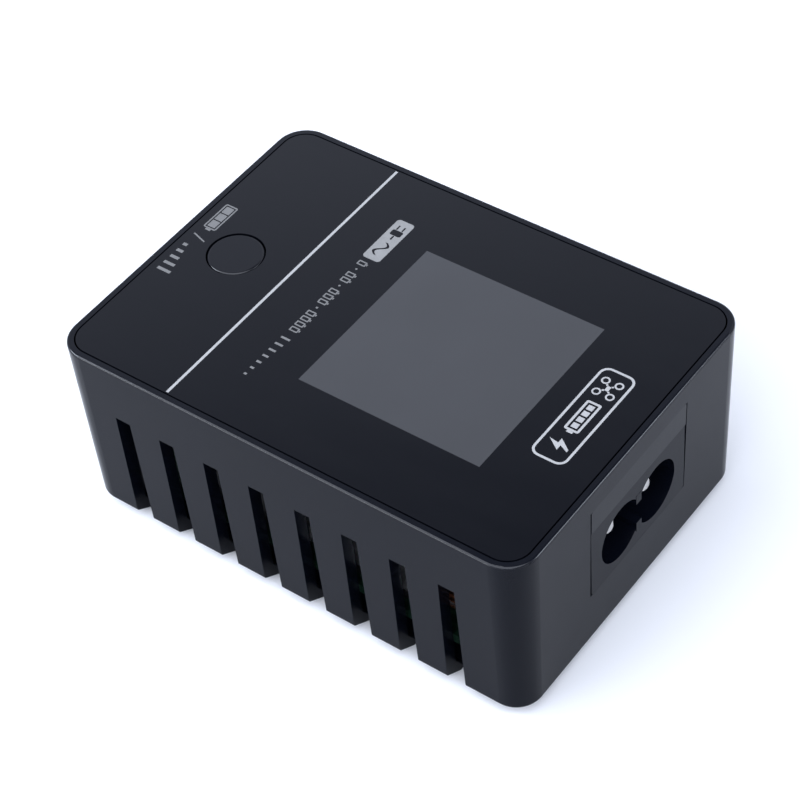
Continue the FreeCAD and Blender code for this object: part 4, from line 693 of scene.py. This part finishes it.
def print_badge():
    """Rounded frame that holds a rotor craft, a battery and a flash."""
    mark = panel_print("print_badge", 26.4, 8.75)
    mark.frame(0, 0, 17.5, 5.2, 1.35, stroke=0.35)
    craft_u, craft_v = 3.3, 2.6
    for side in (-1, 1):
        for end in (-1, 1):
            mark.ring(craft_u + side * 1.12, craft_v + end * 1.02, 0.62, stroke=0.24)
            arm_root = (craft_u + side * 0.42, craft_v + end * 0.30)
            arm_tip = (craft_u + side * 0.62, craft_v + end * 0.54)
            mark.stroke(arm_root, arm_tip, 0.26)
    mark.box(craft_u - 0.44, craft_v - 0.28, 0.88, 0.56, radius=0.12)
    mark.battery(6.2, 1.5, 6.0, 2.2, stroke=0.34, cells=4)
    mark.bolt(13.3, 1.0, 2.3, 3.2)
    mark.finish(INK_WHITE, "panel_gloss", "case")


def print_label():
    """Wordless rating label: supply and output signs, double insulation, indoor use and blank data lines."""
    low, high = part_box("rating_label")
    mark = Print("print_label", (low.x / MM, high.y / MM, low.z / MM), (1, 0, 0), DOWN)
    width = (high.x - low.x) / MM
    height = (high.y - low.y) / MM
    edge = 1.5
    mark.frame(edge, edge, width - 2 * edge, height - 2 * edge, 1.2, stroke=0.25)

    # Upper part: wave and flash at the left, and the blank data lines.
    lines_u, line_pitch = 12.0, 2.1
    top_line = height - edge - 4.2
    for row, length in enumerate((24, 20, 22, 15)):
        mark.box(lines_u, top_line - row * line_pitch, length, 0.8)
    mark.wave(4.6, top_line + 0.2, 4.6, 1.9, width=0.5)
    mark.bolt(5.2, top_line - 6.6, 3.2, 4.6)

    # Lower row: double insulation, battery, direct current and indoor use.
    icon_v = edge + 2.2
    for square_u, square_v, side in ((4.4, icon_v, 4.6), (5.5, icon_v + 1.1, 2.4)):
        mark.frame(square_u, square_v, side, side, 0.15, stroke=0.4)
    mark.battery(lines_u, icon_v + 0.9, 7.6, 2.9, stroke=0.4, cells=4)
    current_u, dash_pitch = 22.4, 1.6
    mark.box(current_u, icon_v + 3.0, 4.4, 0.5)
    for dash in range(3):
        mark.box(current_u + dash * dash_pitch, icon_v + 1.5, 1.2, 0.5)
    roof_u, eaves = 29.4, icon_v + 2.2
    mark.loop([(roof_u, eaves), (roof_u + 2.9, icon_v + 4.8), (roof_u + 5.8, eaves), (roof_u + 4.9, eaves),
               (roof_u + 4.9, icon_v), (roof_u + 0.9, icon_v), (roof_u + 0.9, eaves)])
    mark.loop([(roof_u + 1.4, icon_v + 0.5), (roof_u + 4.4, icon_v + 0.5), (roof_u + 4.4, eaves + 0.35),
               (roof_u + 2.9, icon_v + 4.1), (roof_u + 1.4, eaves + 0.35)])
    mark.finish(INK_DARK, "label_film", "case")


make_camera()
make_world()
make_floor()
for softbox in SOFTBOXES:
    add_softbox(*softbox)
dress_cad_nodes()
print_divider()
print_button_legend()
print_tag()
print_caption()
print_badge()
print_label()

scene.view_settings.view_transform = "Standard"
